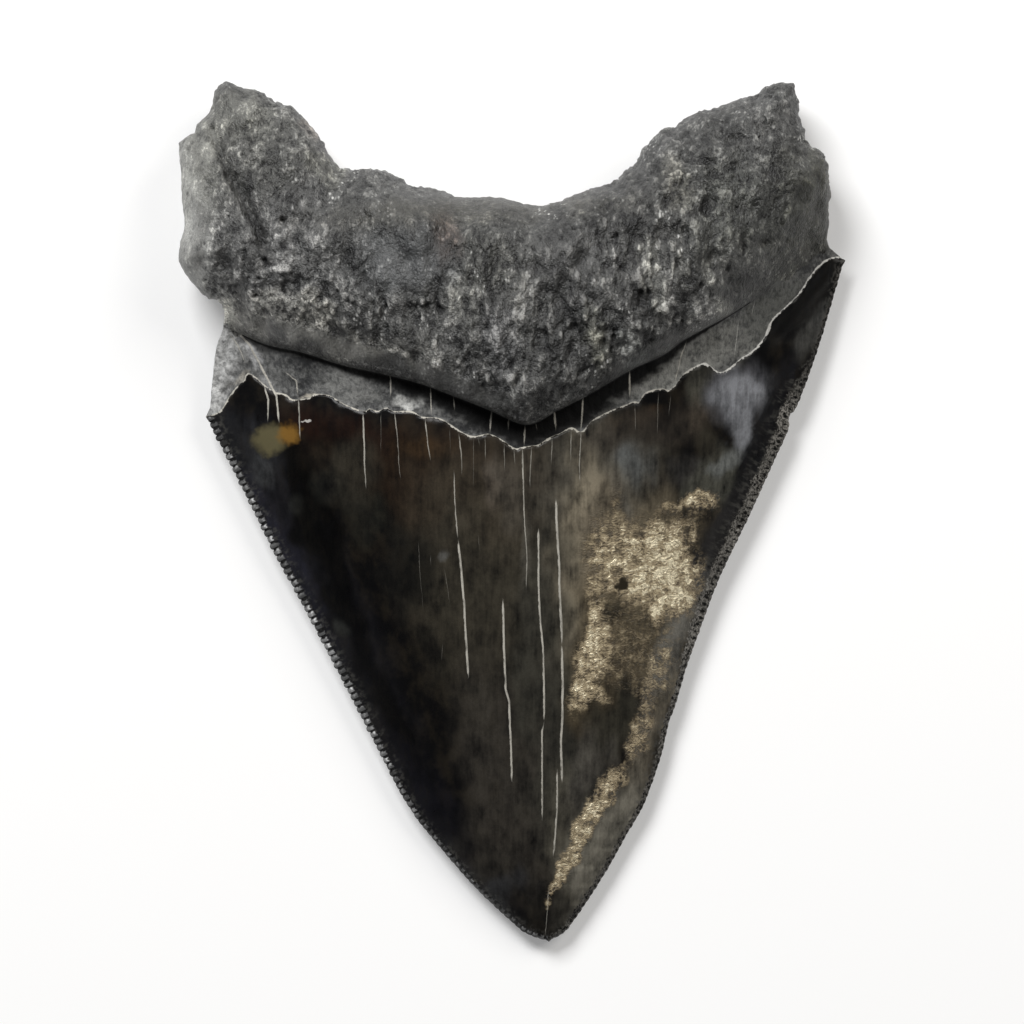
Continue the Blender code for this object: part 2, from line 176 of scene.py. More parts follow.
@dataclass(frozen=True)
class Stain:
    """A patch of another colour with a soft edge, placed in the camera's frame."""

    x: float  # Its middle
    y: float
    wide: float  # Its half width and half height
    high: float
    turn: float  # How far it is turned against the clock, in degrees
    strength: float = 1.0  # Its share in the middle
    colour: Colour = PLAIN  # Its colour in thousandths, or what it multiplies the colour by
    soft: float = 1.0  # Share of its radius over which it fades out

    @property
    def tint(self) -> Colour:
        """Its colour, where that is given in thousandths."""
        return tuple(part / 1000 for part in self.colour)

    def cover(self, plan: np.ndarray) -> np.ndarray:
        """Measure the stain at places of the plan.

        Args:
            plan: One row of x and y for each place.

        Returns:
            0 outside to the stain's strength inside.
        """
        x, y = (plan - plan_of(self.x, self.y)).T
        turn = math.radians(self.turn)
        along = (x * math.cos(turn) + y * math.sin(turn)) / (self.wide / VIEW_POINTS_PER_MM)
        over = (y * math.cos(turn) - x * math.sin(turn)) / (self.high / VIEW_POINTS_PER_MM)
        return self.strength * (1.0 - ease((np.hypot(along, over) - 1.0 + self.soft / 2) / self.soft))

    def mask(self, tree: "Tree", place: "Wire") -> "Wire":
        """Draw the stain as crisp as the finish can show it.

        Args:
            tree: Nodes to add to.
            place: Position in millimetres.

        Returns:
            0 outside to the stain's strength inside.
        """
        local = tree.node("ShaderNodeMapping", {"vector_type": "TEXTURE"}, {
            "Vector": place,
            "Location": (*plan_of(self.x, self.y), 0.0),
            "Rotation": (0.0, 0.0, math.radians(self.turn)),
            "Scale": (self.wide / VIEW_POINTS_PER_MM, self.high / VIEW_POINTS_PER_MM, 1.0e6),
        })
        reach = tree.vector("LENGTH", {0: local}, "Value")
        return reach.ramp(1.0 + self.soft / 2, 1.0 - self.soft / 2) * self.strength


def select_only(piece: bpy.types.Object) -> None:
    """Make a piece the only one that operators act on."""
    bpy.ops.object.select_all(action="DESELECT")
    piece.select_set(True)
    bpy.context.view_layer.objects.active = piece


def patches(*rows: tuple) -> tuple[Stain, ...]:
    """Stains from rows of their values, in the order of the fields."""
    return tuple(Stain(*row) for row in rows)


class Line:
    """A path over the plan of the tooth."""

    def __init__(self, points: np.ndarray, closed: bool = False) -> None:
        """Keep the stretches of a path.

        Args:
            points: One row of x and y for each point of the path.
            closed: Whether the last point joins the first.
        """
        self.points = points
        self.starts = points if closed else points[:-1]
        ends = np.roll(points, -1, axis=0) if closed else points[1:]
        self.along = ends - self.starts

    @classmethod
    def traced(cls, route: Places) -> "Line":
        """Make a path through points of the camera's frame."""
        return cls(np.array([plan_of(*point) for point in route]))

    @classmethod
    def smooth(cls, control: list[tuple[float, float]], steps: int = 8) -> "Line":
        """Make a path that runs smoothly through its control points.

        Args:
            control: Points that the path goes through.
            steps: Stretches between two control points.

        Returns:
            The path, as a Catmull-Rom curve.
        """
        nodes = np.array([control[0], *control, control[-1]])
        dense = []
        for before, start, end, after in zip(nodes, nodes[1:], nodes[2:], nodes[3:]):
            for t in np.linspace(0.0, 1.0, steps, endpoint=False):
                pull = (end - before) * t + (2 * before - 5 * start + 4 * end - after) * t ** 2
                curl = (3 * start - before - 3 * end + after) * t ** 3
                dense.append(start + 0.5 * (pull + curl))
        return cls(np.array([*dense, nodes[-1]]))

    def nearest(self, plan: np.ndarray) -> tuple[np.ndarray, np.ndarray, np.ndarray]:
        """Measure how places lie to the path.

        Args:
            plan: One row of x and y for each place.

        Returns:
            The distance to the path, the side of it (1 on its left, -1 on its right), and
            where along the path the nearest point is, counted in its points.
        """
        distance, side, where = (np.empty(len(plan)) for _ in range(3))
        squares = (self.along ** 2).sum(axis=1)
        for first in range(0, len(plan), ROWS_AT_ONCE):
            rows = slice(first, first + ROWS_AT_ONCE)
            gap = plan[rows, None, :] - self.starts[None, :, :]
            share = np.clip((gap * self.along).sum(axis=2) / squares, 0.0, 1.0)
            away = ((gap - share[:, :, None] * self.along) ** 2).sum(axis=2)
            best = away.argmin(axis=1)
            pick = np.arange(len(best))
            cross = self.along[best, 0] * gap[pick, best, 1] - self.along[best, 1] * gap[pick, best, 0]
            distance[rows] = np.sqrt(away[pick, best])
            side[rows] = np.where(cross < 0.0, -1.0, 1.0)
            where[rows] = best + share[pick, best]
        return distance, side, where

    def gap(self, plan: np.ndarray) -> np.ndarray:
        """Signed distance to the path, positive on its left."""
        distance, side, _ = self.nearest(plan)
        return distance * side


@dataclass
class Rim:
    """The outline of the tooth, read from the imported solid."""

    line: Line  # The outline, clockwise from the left shoulder
    course: Line  # The same outline without its serrations
    right: int  # Index of the right shoulder
    tip: int  # Index of the tip

    @classmethod
    def of(cls, mesh: bpy.types.Mesh) -> "Rim":
        """Find the loop of edges where faces that look up meet faces that look down.

        Args:
            mesh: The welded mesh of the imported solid.

        Returns:
            The outline of the tooth.
        """
        graph = bmesh.new()
        graph.from_mesh(mesh)
        graph.normal_update()
        neighbours: dict[int, list[int]] = {}
        for edge in graph.edges:
            if len({face.normal.z > 0.0 for face in edge.link_faces}) == 2:
                first, last = (vert.index for vert in edge.verts)
                neighbours.setdefault(first, []).append(last)
                neighbours.setdefault(last, []).append(first)
        places = np.array([vert.co.xy for vert in graph.verts]) / MM
        graph.free()
        start = min(neighbours, key=lambda index: math.dist(places[index], LEFT_SHOULDER))
        loop = [start]
        onward = max(neighbours[start], key=lambda index: places[index, 1])
        while onward != start:
            loop.append(onward)
            onward = next(index for index in neighbours[onward] if index != loop[-2])
        ring = places[loop]
        right, tip = (int(np.hypot(*(ring - end).T).argmin()) for end in (RIGHT_SHOULDER, TIP))
        plain = ring / 2 + (np.roll(ring, 1, axis=0) + np.roll(ring, -1, axis=0)) / 4
        return cls(Line(ring, closed=True), Line(plain, closed=True), right, tip)

    def sides(self) -> tuple[np.ndarray, np.ndarray]:
        """Trace the left and the right side of the tooth.

        Returns:
            The sides, each evened out, as x over a rising y.
        """
        points, half = self.line.points, self.right // 2
        top = int(points[:half, 1].argmax())
        right_top = half + int(points[half:self.right, 1].argmax())
        left, right = np.vstack([points[self.tip:], points[:top + 1]]), points[right_top:self.tip + 1]
        return self.evened(left), self.evened(right)

    @staticmethod
    def evened(side: np.ndarray) -> np.ndarray:
        """Even out one side of the tooth over a few millimetres, but not at the tip.

        Args:
            side: Its points.

        Returns:
            One row of x and y for each half millimetre of y.
        """
        side = side[side[:, 1].argsort()]
        y = np.arange(side[0, 1], side[-1, 1], 0.5)
        x = np.interp(y, side[:, 1], side[:, 0])
        window = np.hanning(15)
        even = np.convolve(np.pad(x, len(window) // 2, mode="edge"), window / window.sum(), mode="valid")
        return np.column_stack([x + (even - x) * ease((y + 38.0) / 8.0), y])

    def beads(self, where: np.ndarray) -> tuple[np.ndarray, np.ndarray]:
        """Count the serrations, which take two points of the outline each.

        Args:
            where: Places along the outline, counted in its points.

        Returns:
            The number of the serration with its fraction, and 1 on a serrated edge, 0 off it.
        """
        number = np.where(where < self.tip, where - self.right, len(self.line.points) - where) / 2
        return number, (where >= self.right).astype(float)

    def outward(self, where: np.ndarray) -> np.ndarray:
        """Work out the outline's unit normals, smoothed over a serration.

        Args:
            where: Places along the outline, counted in its points.

        Returns:
            The normal at each place.
        """
        points = self.line.points
        tangent = np.roll(points, -2, axis=0) - np.roll(points, 2, axis=0)
        normal = np.column_stack([-tangent[:, 1], tangent[:, 0]])
        normal /= np.linalg.norm(normal, axis=1)[:, None]
        return normal[np.minimum(where.astype(int), len(points) - 1)]


@dataclass(frozen=True)
class Crack:
    """A fine crack filled with pale mineral."""

    strength: float  # Its width and brightness, from 0 to 1
    fade: float  # Share of its strength that it loses towards its lower end
    route: Places  # Its points in the camera's frame

    def line(self) -> Line:
        """The crack's path over the plan of the tooth."""
        return Line.traced(self.route)


def cracks(*rows: tuple) -> tuple[Crack, ...]:
    """Cracks from rows of their strength, their fade and their points."""
    return tuple(Crack(strength, fade, route) for strength, fade, *route in rows)


LINGUAL_CRACKS = cracks(
    # Across the trough.
    (0.8, 0, (391, 374), (391.5, 398)), (0.7, 0, (431, 386), (432, 417)),
    (0.75, 0, (454, 396), (455, 412)), (0.8, 0, (492, 409), (490, 434)), (0.75, 0, (509, 417), (508, 432)),
    (0.75, 0, (525, 423), (524, 447)), (0.65, 0, (535, 421), (537, 431)),
    (0.95, 0, (554, 408), (555.5, 432)), (0.85, 0, (583, 396), (582, 411), (580, 432)),
    (0.9, 0, (629, 370), (629, 399)), (0.7, 0, (686, 341), (680, 357), (674, 384)),
    (0.5, 0, (738, 318), (733, 362)), (0.4, 0, (755, 298), (750, 320)),
    # Strands at the left of the neck.
    (0.95, 0.1, (233, 328), (250, 345), (262, 368), (271, 385), (277, 396), (280, 424)),
    (0.7, 0, (228, 332), (238, 345), (246, 364)), (0.8, 0.1, (264, 384), (269, 400), (268, 424)),
    (0.85, 0.4, (299, 398), (300, 420), (301, 441)), (0.7, 0, (284, 371), (297, 381), (299, 398)),
    # In the enamel, from left to right.
    (0.85, 0.4, (363.6, 412), (365.3, 449), (365.3, 466), (367, 490)),
    (0.35, 0.4, (381.7, 411), (381.7, 454)),
    (0.55, 0.4, (395.4, 411), (398, 437), (400, 468), (401.5, 482)),
    (0.7, 0.4, (425.6, 418), (428, 442), (431.6, 463)), (0.3, 0.4, (450.5, 427), (450.5, 456)),
    (0.6, 0.4, (459, 433), (461.7, 454), (462.3, 477)), (0.3, 0.4, (473.8, 437), (473.8, 490)),
    (0.6, 0, (454.3, 470), (455.4, 506), (458.3, 539)),
    (0.95, 0, (458.3, 539), (461.7, 571.5), (464.3, 602.5), (466, 635), (468.6, 678)),
    (0.3, 0.4, (418.7, 540), (421, 580), (424, 612)), (0.35, 0.4, (444.5, 568), (450.5, 604)),
    (0.35, 0.4, (431, 552), (431.6, 567)), (0.3, 0.4, (443, 640), (442, 663)),
    (0.5, 0.4, (478, 436), (480, 448)), (0.5, 0.4, (485, 436), (486, 462)),
    (0.45, 0.4, (504, 442), (505, 474)), (0.45, 0.4, (514, 448), (515, 470)),
    (0.75, 0.4, (522, 447.5), (523, 475), (523.7, 503), (524.6, 523), (527, 558), (526, 590)),
    (0.55, 0.4, (531.5, 447), (530, 472), (530, 491)), (0.5, 0.4, (552, 437), (551, 467)),
    (0.5, 0.4, (571, 429), (570, 465)), (0.6, 0.4, (580.6, 431), (579, 466), (579.7, 487)),
    (0.3, 0.4, (478, 532), (480, 553)),
    (0.9, 0, (503, 598), (504, 644), (505.7, 689), (509, 700), (511, 747), (512, 781)),
    (0.85, 0, (538.4, 527), (538.4, 585), (540, 620), (542.7, 644), (544, 689), (544, 720.6)),
    (0.8, 0, (544, 720.6), (542, 730), (542, 779), (542, 820)),
    (1, 0, (555.6, 498), (557, 537), (559, 563), (559, 585), (560.8, 618), (561.6, 644)),
    (1, 0, (561.6, 644), (562.6, 690), (562, 722), (560.7, 741), (562, 783)),
    (0.8, 0, (557, 768), (557, 805), (555, 837), (553, 857)),
    # The first entry here is no crack: it paints a highlight along the ridge near the tip.
    (0.45, 0, (549, 884), (547, 915), (545, 938)), (0.4, 0.4, (634, 404), (635, 434)),
    (0.4, 0.4, (657.5, 391), (656.5, 437)), (0.35, 0.4, (670, 393), (668, 419)),
)

# A tooth cracks along its length on both faces; the labial face has a few, plainer ones.
LABIAL_CRACKS = cracks(
    (0.6, 0.4, (402, 360), (405, 440), (404, 520)), (0.8, 0.4, (470, 372), (474, 470), (478, 600)),
    (0.9, 0.4, (548, 390), (545, 500), (549, 640), (547, 720)), (0.4, 0.4, (600, 372), (598, 450)),
    (0.5, 0.4, (512, 520), (515, 640), (519, 700)), (0.6, 0.4, (660, 345), (652, 450), (640, 560)),
    (0.4, 0.4, (330, 356), (340, 440)), (0.4, 0.4, (725, 300), (712, 400)),
)
CRACK_REACH = 1.2  # How far off a crack its strength is noted
CRACK_TAPER = 1.4  # Length over which it thins out at its ends
CRACK_CLEARANCE = 2.7  # How far the cracks of one channel keep apart
CRACK_SEARCH = 3.0  # How far off a crack the points are measured


def crack_channels(whole: tuple[Crack, ...]) -> list[list[Crack]]:
    """Share the cracks out so that those of one channel keep clear of each other.

    Args:
        whole: All cracks of one face.

    Returns:
        The cracks of each channel.
    """
    channels: list[list[Crack]] = []
    for crack in whole:
        line = crack.line()
        marks = np.vstack([line.starts + line.along * share for share in (0.0, 0.33, 0.67, 1.0)])
        for channel in channels:
            if all(other.line().nearest(marks)[0].min() > CRACK_CLEARANCE for other in channel):
                channel.append(crack)
                break
        else:
            channels.append([crack])
    return channels


@dataclass
class Survey:
    """How each point of the mesh lies to the lines of the tooth."""

    plan: np.ndarray  # Plan position of each point
    face: np.ndarray  # Which face it is on, as the values of Face
    edge: np.ndarray  # Distance to the outline
    where: np.ndarray  # Place of the nearest point along the outline
    ledge: np.ndarray  # Signed distance to the root's ledge, positive in the root
    margin: np.ndarray  # Signed distance to the enamel's lingual margin, negative in the enamel
    labial: np.ndarray  # Signed distance to the enamel's labial margin, negative in the enamel

    @classmethod
    def of(cls, plan: np.ndarray, face: np.ndarray, rim: Rim) -> "Survey":
        """Measure every point of the mesh against the outline, the ledge and the margins.

        Args:
            plan: Plan position of each point.
            face: Which face each point is on.
            rim: The outline of the tooth.

        Returns:
            The measures, one row for each point.
        """
        lines = (Line.smooth(ROOT_LEDGE), Line.smooth(LINGUAL_MARGIN, 4), Line.smooth(LABIAL_MARGIN))
        edge, where = rim.line.nearest(plan)[0], rim.course.nearest(plan)[2]
        return cls(plan, face, edge, where, *(line.gap(plan) for line in lines))


@dataclass(frozen=True)
class Crown:
    """The enamel crown: a lens across, with a serrated rim."""

    rim: float = 2.8  # Height of the rim at the base of the crown
    tip_rim: float = 1.9  # Height of the rim at the tip
    crest: float = 11.2  # Height of the crown's crest above its rim, at its base
    base: float = 7.0  # Plan y of the base of the crown in the middle
    bead_depth: float = 0.24  # How far a serration stands out of the notches beside it
    bead_relief: float = 0.13  # How far a serration's back stands out of the blade
    bead_reach: float = 0.5  # How far in from the rim a serration fades out
    worn_beads: float = 0.35  # Share of their relief that the worn serrations keep
    ripple: float = 0.05  # Height of the slow waves of the enamel

    def share(self, plan: np.ndarray) -> np.ndarray:
        """How far down the crown each place is: 0 at its base, 1 at its tip."""
        fall = (self.base - plan[:, 1]) / (self.base - TIP[1])
        return np.minimum(0.5 * (fall + np.sqrt(fall ** 2 + 0.003)), 1.0)

    def rims(self, plan: np.ndarray) -> np.ndarray:
        """Height of the rim beside each place, where no root thickens it."""
        return self.rim + (self.tip_rim - self.rim) * self.share(plan)

    def lens(self, plan: np.ndarray, sides: tuple[np.ndarray, np.ndarray], power: float) -> np.ndarray:
        """Measure how far across the tooth each place is.

        Args:
            plan: The places.
            sides: The left and the right side of the tooth.
            power: How late the measure rises.

        Returns:
            0 in the middle, 1 on both sides.
        """
        left, right = (np.interp(plan[:, 1], side[:, 1], side[:, 0]) for side in sides)
        half = np.maximum((right - left) / 2, 0.4)
        return np.abs(np.clip((plan[:, 0] - (left + right) / 2) / half, -1.0, 1.0)) ** power

    def lingual(self, survey: Survey, rim: np.ndarray, sides: tuple[np.ndarray, np.ndarray]) -> np.ndarray:
        """Shape the bulging face of the crown.

        Args:
            survey: The points of the mesh.
            rim: Height of the rim beside each point.
            sides: The left and the right side of the tooth.

        Returns:
            The height of each point.
        """
        plan = survey.plan
        wave = lattice_noise(plan, (5.5, 9.0), 31.0) + 0.4 * lattice_noise(plan, (1.9, 3.6), 47.0)
        bulge = (1.0 - self.share(plan)) ** 0.66 * (1.0 - self.lens(plan, sides, 2.05))
        return rim + self.crest * bulge + self.ripple * wave * ease(survey.edge / 2.5)

    def bead(self, rim: Rim, survey: Survey) -> tuple[np.ndarray, np.ndarray]:
        """Shape the serrations.

        Args:
            rim: The outline of the tooth.
            survey: The points of the mesh.

        Returns:
            0 in a notch to 1 on a serration, and how much further out of the outline that is
            than on a plain zigzag, both 0 away from the serrated edges.
        """
        number, serrated = rim.beads(survey.where)
        through = number % 1.0
        size = 0.8 + 0.35 * np.sin(np.floor(number) * 12.9898) * np.cos(np.floor(number) * 4.1)
        rounded = np.sin(np.pi * through) ** 0.6 * size
        rounded = 0.6 + (rounded - 0.6) * self.kept(rim, survey)
        zigzag = 1.0 - np.abs(2.0 * through - 1.0)
        return rounded * serrated, (rounded - zigzag) * serrated

    def kept(self, rim: Rim, survey: Survey) -> np.ndarray:
        """Share of their relief that the serrations keep: all on the left, less at the tip and right."""
        left = self.worn_beads + (1.0 - self.worn_beads) * ease((survey.plan[:, 1] + 36.0) / 14.0)
        return np.where(survey.where > rim.tip, left, self.worn_beads)


@dataclass(frozen=True)
class Neck:
    """The trough under the root's ledge and the worn band down to the enamel's chipped margin."""

    trough_depth: float = 0.95  # Depth of the trough in the middle
    trough_width: float = 1.5  # Width over which it runs out
    enamel_step: float = 0.3  # Thickness of the chipped enamel
    step_width: float = 0.22  # Width of the broken edge
    # Hollow fold inside the right margin, in the camera's frame.
    fold: Places = ((838, 264), (828, 274), (814, 290), (801, 306), (787, 322), (775, 336))
    fold_depth: float = 0.35
    fold_width: float = 1.0
    # Width of the painted shade in the trough under the ledge, from left to right: plan x, width.
    painted_shade: Places = (
        (-32.0, 0.03), (-30.2, 0.1), (-25.4, 0.4), (-18.7, 0.6), (-12.4, 1.6), (-6.9, 2.4), (-2.0, 2.9),
        (5.3, 2.9), (9.8, 2.7), (14.2, 2.0), (18.7, 0.8), (22.0, 0.25), (25.0, 0.1), (28.5, 0.03),
        (34.0, 0.02),
    )

    def painted_shade_reach(self, survey: Survey) -> np.ndarray:
        """Measure the painted shade of the trough under the ledge.

        Args:
            survey: The points of the mesh.

        Returns:
            0 at the ledge to 1 where the painted shade ends, and more beyond.
        """
        x = survey.plan[:, 0]
        beyond = FAR * (ease((x - 26.5) / 3.5) + ease((-30.2 - x) / 1.0))
        beyond += FAR * ease((survey.ledge - 0.15) / 0.3)
        return np.where(survey.face >= 0, -survey.ledge / np.interp(x, *np.array(self.painted_shade).T) + beyond, FAR)

    def carve(self, survey: Survey, ledge_share: np.ndarray) -> np.ndarray:
        """Cut the neck out of the crown's plain surface.

        Args:
            survey: The points of the mesh.
            ledge_share: Share of the ledge's full height beside each point.

        Returns:
            The depth at each point.
        """
        plan = survey.plan
        depth = self.trough_depth * ledge_share * hump(np.maximum(-survey.ledge, 0.0), self.trough_width)
        worn = self.enamel_step * ease(0.5 + survey.margin / self.step_width)
        grain = 0.14 * lattice_noise(plan, (1.1, 2.0), 5.0) + 0.08 * lattice_noise(plan, (0.5, 0.8), 6.0)
        grain *= ease(survey.margin / 0.4) * (1.0 + 2.2 * ease((-27.0 - plan[:, 0]) / 3.0))
        fold = self.fold_depth * hump(Line.traced(self.fold).nearest(plan)[0], self.fold_width)
        return depth + worn + grain + fold


@dataclass(frozen=True)
class Root:
    """The pitted bone of the root with its two lobes."""

    top: float = 18.9  # Height of the middle of the root
    rim: float = 6.2  # Height of its rim
    side_drop: float = 4.6  # How far it falls away towards both sides
    half_width: float = 34.0  # Half of its width
    lobe_drop: float = 4.2  # How far it falls away along the lobes
    rounding: float = 5.5  # Width over which its lingual face rounds down to the rim
    rise: float = 14.0  # Length over which it rises from the ledge
    ledge_height: float = 1.5  # Height of the ledge in the middle
    ledge_middle: float = 1.6  # Plan x of the middle of the ledge
    ledge_end: float = 24.0  # Plan x from which the ledge fades into the neck
    lumps: float = 1.1  # Height of its lumps
    labial_lumps: float = 0.6  # Height of the lumps of its labial face
    swell: float = 0.22  # Height of its slow unevenness
    crag: float = 0.14  # Height of its lumps about a millimetre across
    knob: float = 0.15  # Height of the rounded knobs that crowd it
    grain: float = 0.12  # Height of its coarse grain
    pit: float = 0.35  # Depth of its scattered pits
    # How much longer the lumps are along the tooth than across it, right of the left lobe.
    stretch: float = 0.9
    stretch_middle: float = 24.0  # Plan y about which they are stretched
    # Hollows of the lingual face: plan x, plan y, radius, depth.
    hollows: tuple[tuple[float, float, float, float], ...] = (
        (-25.3, 32.2, 0.3, 1.4), (-25.3, 32.2, 1.2, 0.3), (-27.1, 27.1, 0.4, 0.8),
        (-27.0, 27.2, 1.5, 0.4), (24.1, 41.0, 0.5, 0.9), (24.1, 41.0, 1.4, 0.4),
        (27.6, 29.7, 0.6, 0.9), (-7.4, 30.8, 2.2, 0.6), (-20.4, 37.0, 2.2, 0.5),
    )
    furrow: Places = ((214, 132), (218, 143), (226, 163), (233, 179), (246, 203), (257, 224), (266, 248))
    furrow_depth: float = 1.0
    furrow_width: float = 0.55
    # Places where the bone is smoother.
    calm: tuple[Stain, ...] = patches(
        (190, 215, 26, 105, -4, 0.62, PLAIN, 0.8), (408, 266, 42, 30, 10, 0.6),
        (812, 200, 20, 46, 0, 0.4, PLAIN, 0.6), (470, 205, 150, 14, 3, 0.5), (760, 250, 60, 60, 0, 0.2),
        (230, 100, 24, 24, 0, 0.4), (560, 260, 40, 40, 0, 0.35), (330, 345, 100, 9, -15, 0.75),
        (460, 388, 60, 9, -22, 0.7), (672, 344, 92, 8, 27, 0.6),
    )
    # Places where it is knobbly.
    knobbly: tuple[Stain, ...] = patches(
        (350, 306, 130, 34, -14, 0.6), (500, 330, 110, 80, 0, 0.8), (600, 300, 120, 90, 25),
        (470, 270, 50, 50, 0, 0.6), (690, 200, 50, 60, 0, 0.5),
    )

    @staticmethod
    def knobs(plan: np.ndarray, seed: float) -> np.ndarray:
        """Make the broad lumps of the bone, longer along the tooth than across it.

        Args:
            plan: Places of the plan.
            seed: Sets one pattern apart from another.

        Returns:
            A value of about -1 to 1 for each place.
        """
        broad, small = (
            lattice_noise(np.column_stack([plan, np.full(len(plan), level)]), size, 0.0)
            for level, size in ((seed, (4.4, 6.2, 1.0)), (seed + 7.0, (1.9, 2.9, 1.0)))
        )
        return 0.6 * broad + 0.55 * small - 0.25 * np.abs(small)

    def lingual(self, survey: Survey, rim: np.ndarray, crown: np.ndarray) -> np.ndarray:
        """Shape the lingual face of the root.

        Args:
            survey: The points of the mesh.
            rim: Height of the rim beside each point.
            crown: Height of the crown's surface, carried on under the root.

        Returns:
            The height of each point.
        """
        x, y = survey.plan.T
        ledge = self.ledge_height * self.ledge_share(x)
        top = self.top - self.side_drop * (x / self.half_width) ** 2
        top -= self.lobe_drop * ease((y - 24.0) / 26.0)
        body = rim + (top - rim) * quarter_round(survey.edge / self.rounding)
        climb = 1.0 - (1.0 - np.clip(survey.ledge / self.rise, 0.0, 1.0)) ** 2
        height = crown + ledge
        height = height + (body - height) * climb
        knobs = self.lumps * self.knobs(survey.plan, 2.0)
        height += knobs * ease(survey.edge / 1.4) * ease(0.4 + survey.ledge / 2)
        height -= 0.4 * ledge * np.exp(-np.maximum(survey.ledge, 0.0) / 0.35)
        for centre_x, centre_y, radius, depth in self.hollows:
            height -= depth * hump(np.hypot(x - centre_x, y - centre_y), radius)
        furrow = hump(Line.traced(self.furrow).nearest(survey.plan)[0], self.furrow_width)
        return height - self.furrow_depth * furrow * ease(survey.edge / 1.5)

    def ledge_share(self, x: np.ndarray) -> np.ndarray:
        """Share of the ledge's full height at a plan x: 1 in the middle, 0 at the right end."""
        return (0.25 + 0.75 * hump(x - self.ledge_middle, 14.0)) * (1.0 - ease((x - self.ledge_end) / 5.0))

    def relief(self, places: np.ndarray) -> np.ndarray:
        """Make the fine relief of the bone, measured out of its surface.

        Args:
            places: The points of the root in space.

        Returns:
            How far each point stands out, in millimetres.
        """
        x, y, _ = places.T
        warp = np.column_stack([lattice_noise(places, (1.5, 2.6, 1.5), seed) for seed in (3.0, 17.0, 29.0)])
        bent = places + 0.2 * warp
        stretch = 1.0 + self.stretch * ease((x + 24.0) / 14.0) * (1.0 - ease((y - 34.0) / 6.0))
        bent[:, 1] = self.stretch_middle + (bent[:, 1] - self.stretch_middle) / stretch
        chosen = ease(0.45 + 2.2 * lattice_noise(places, (2.8, 4.6, 2.8), 13.0))
        swell = lattice_noise(bent, (2.0, 2.4, 2.0), 8.0)
        crags = 2.6 * np.hypot(lattice_noise(bent, (0.9, 1.1, 0.9), 19.0), 0.14) - 0.85
        fine = lattice_noise(bent, (0.48, 0.6, 0.48), 55.0)
        knobs = 1.0 - (cell_noise(bent, (0.8, 0.95, 0.8), 4.0) / 0.45) ** 2
        holes = ease(1.0 - cell_noise(bent, (1.6, 1.9, 1.6), 91.0) / 0.20)
        raised = self.swell * swell + self.crag * crags + self.grain * fine
        return raised + self.knob * np.clip(knobs, -0.3, 1.0) * chosen - self.pit * holes


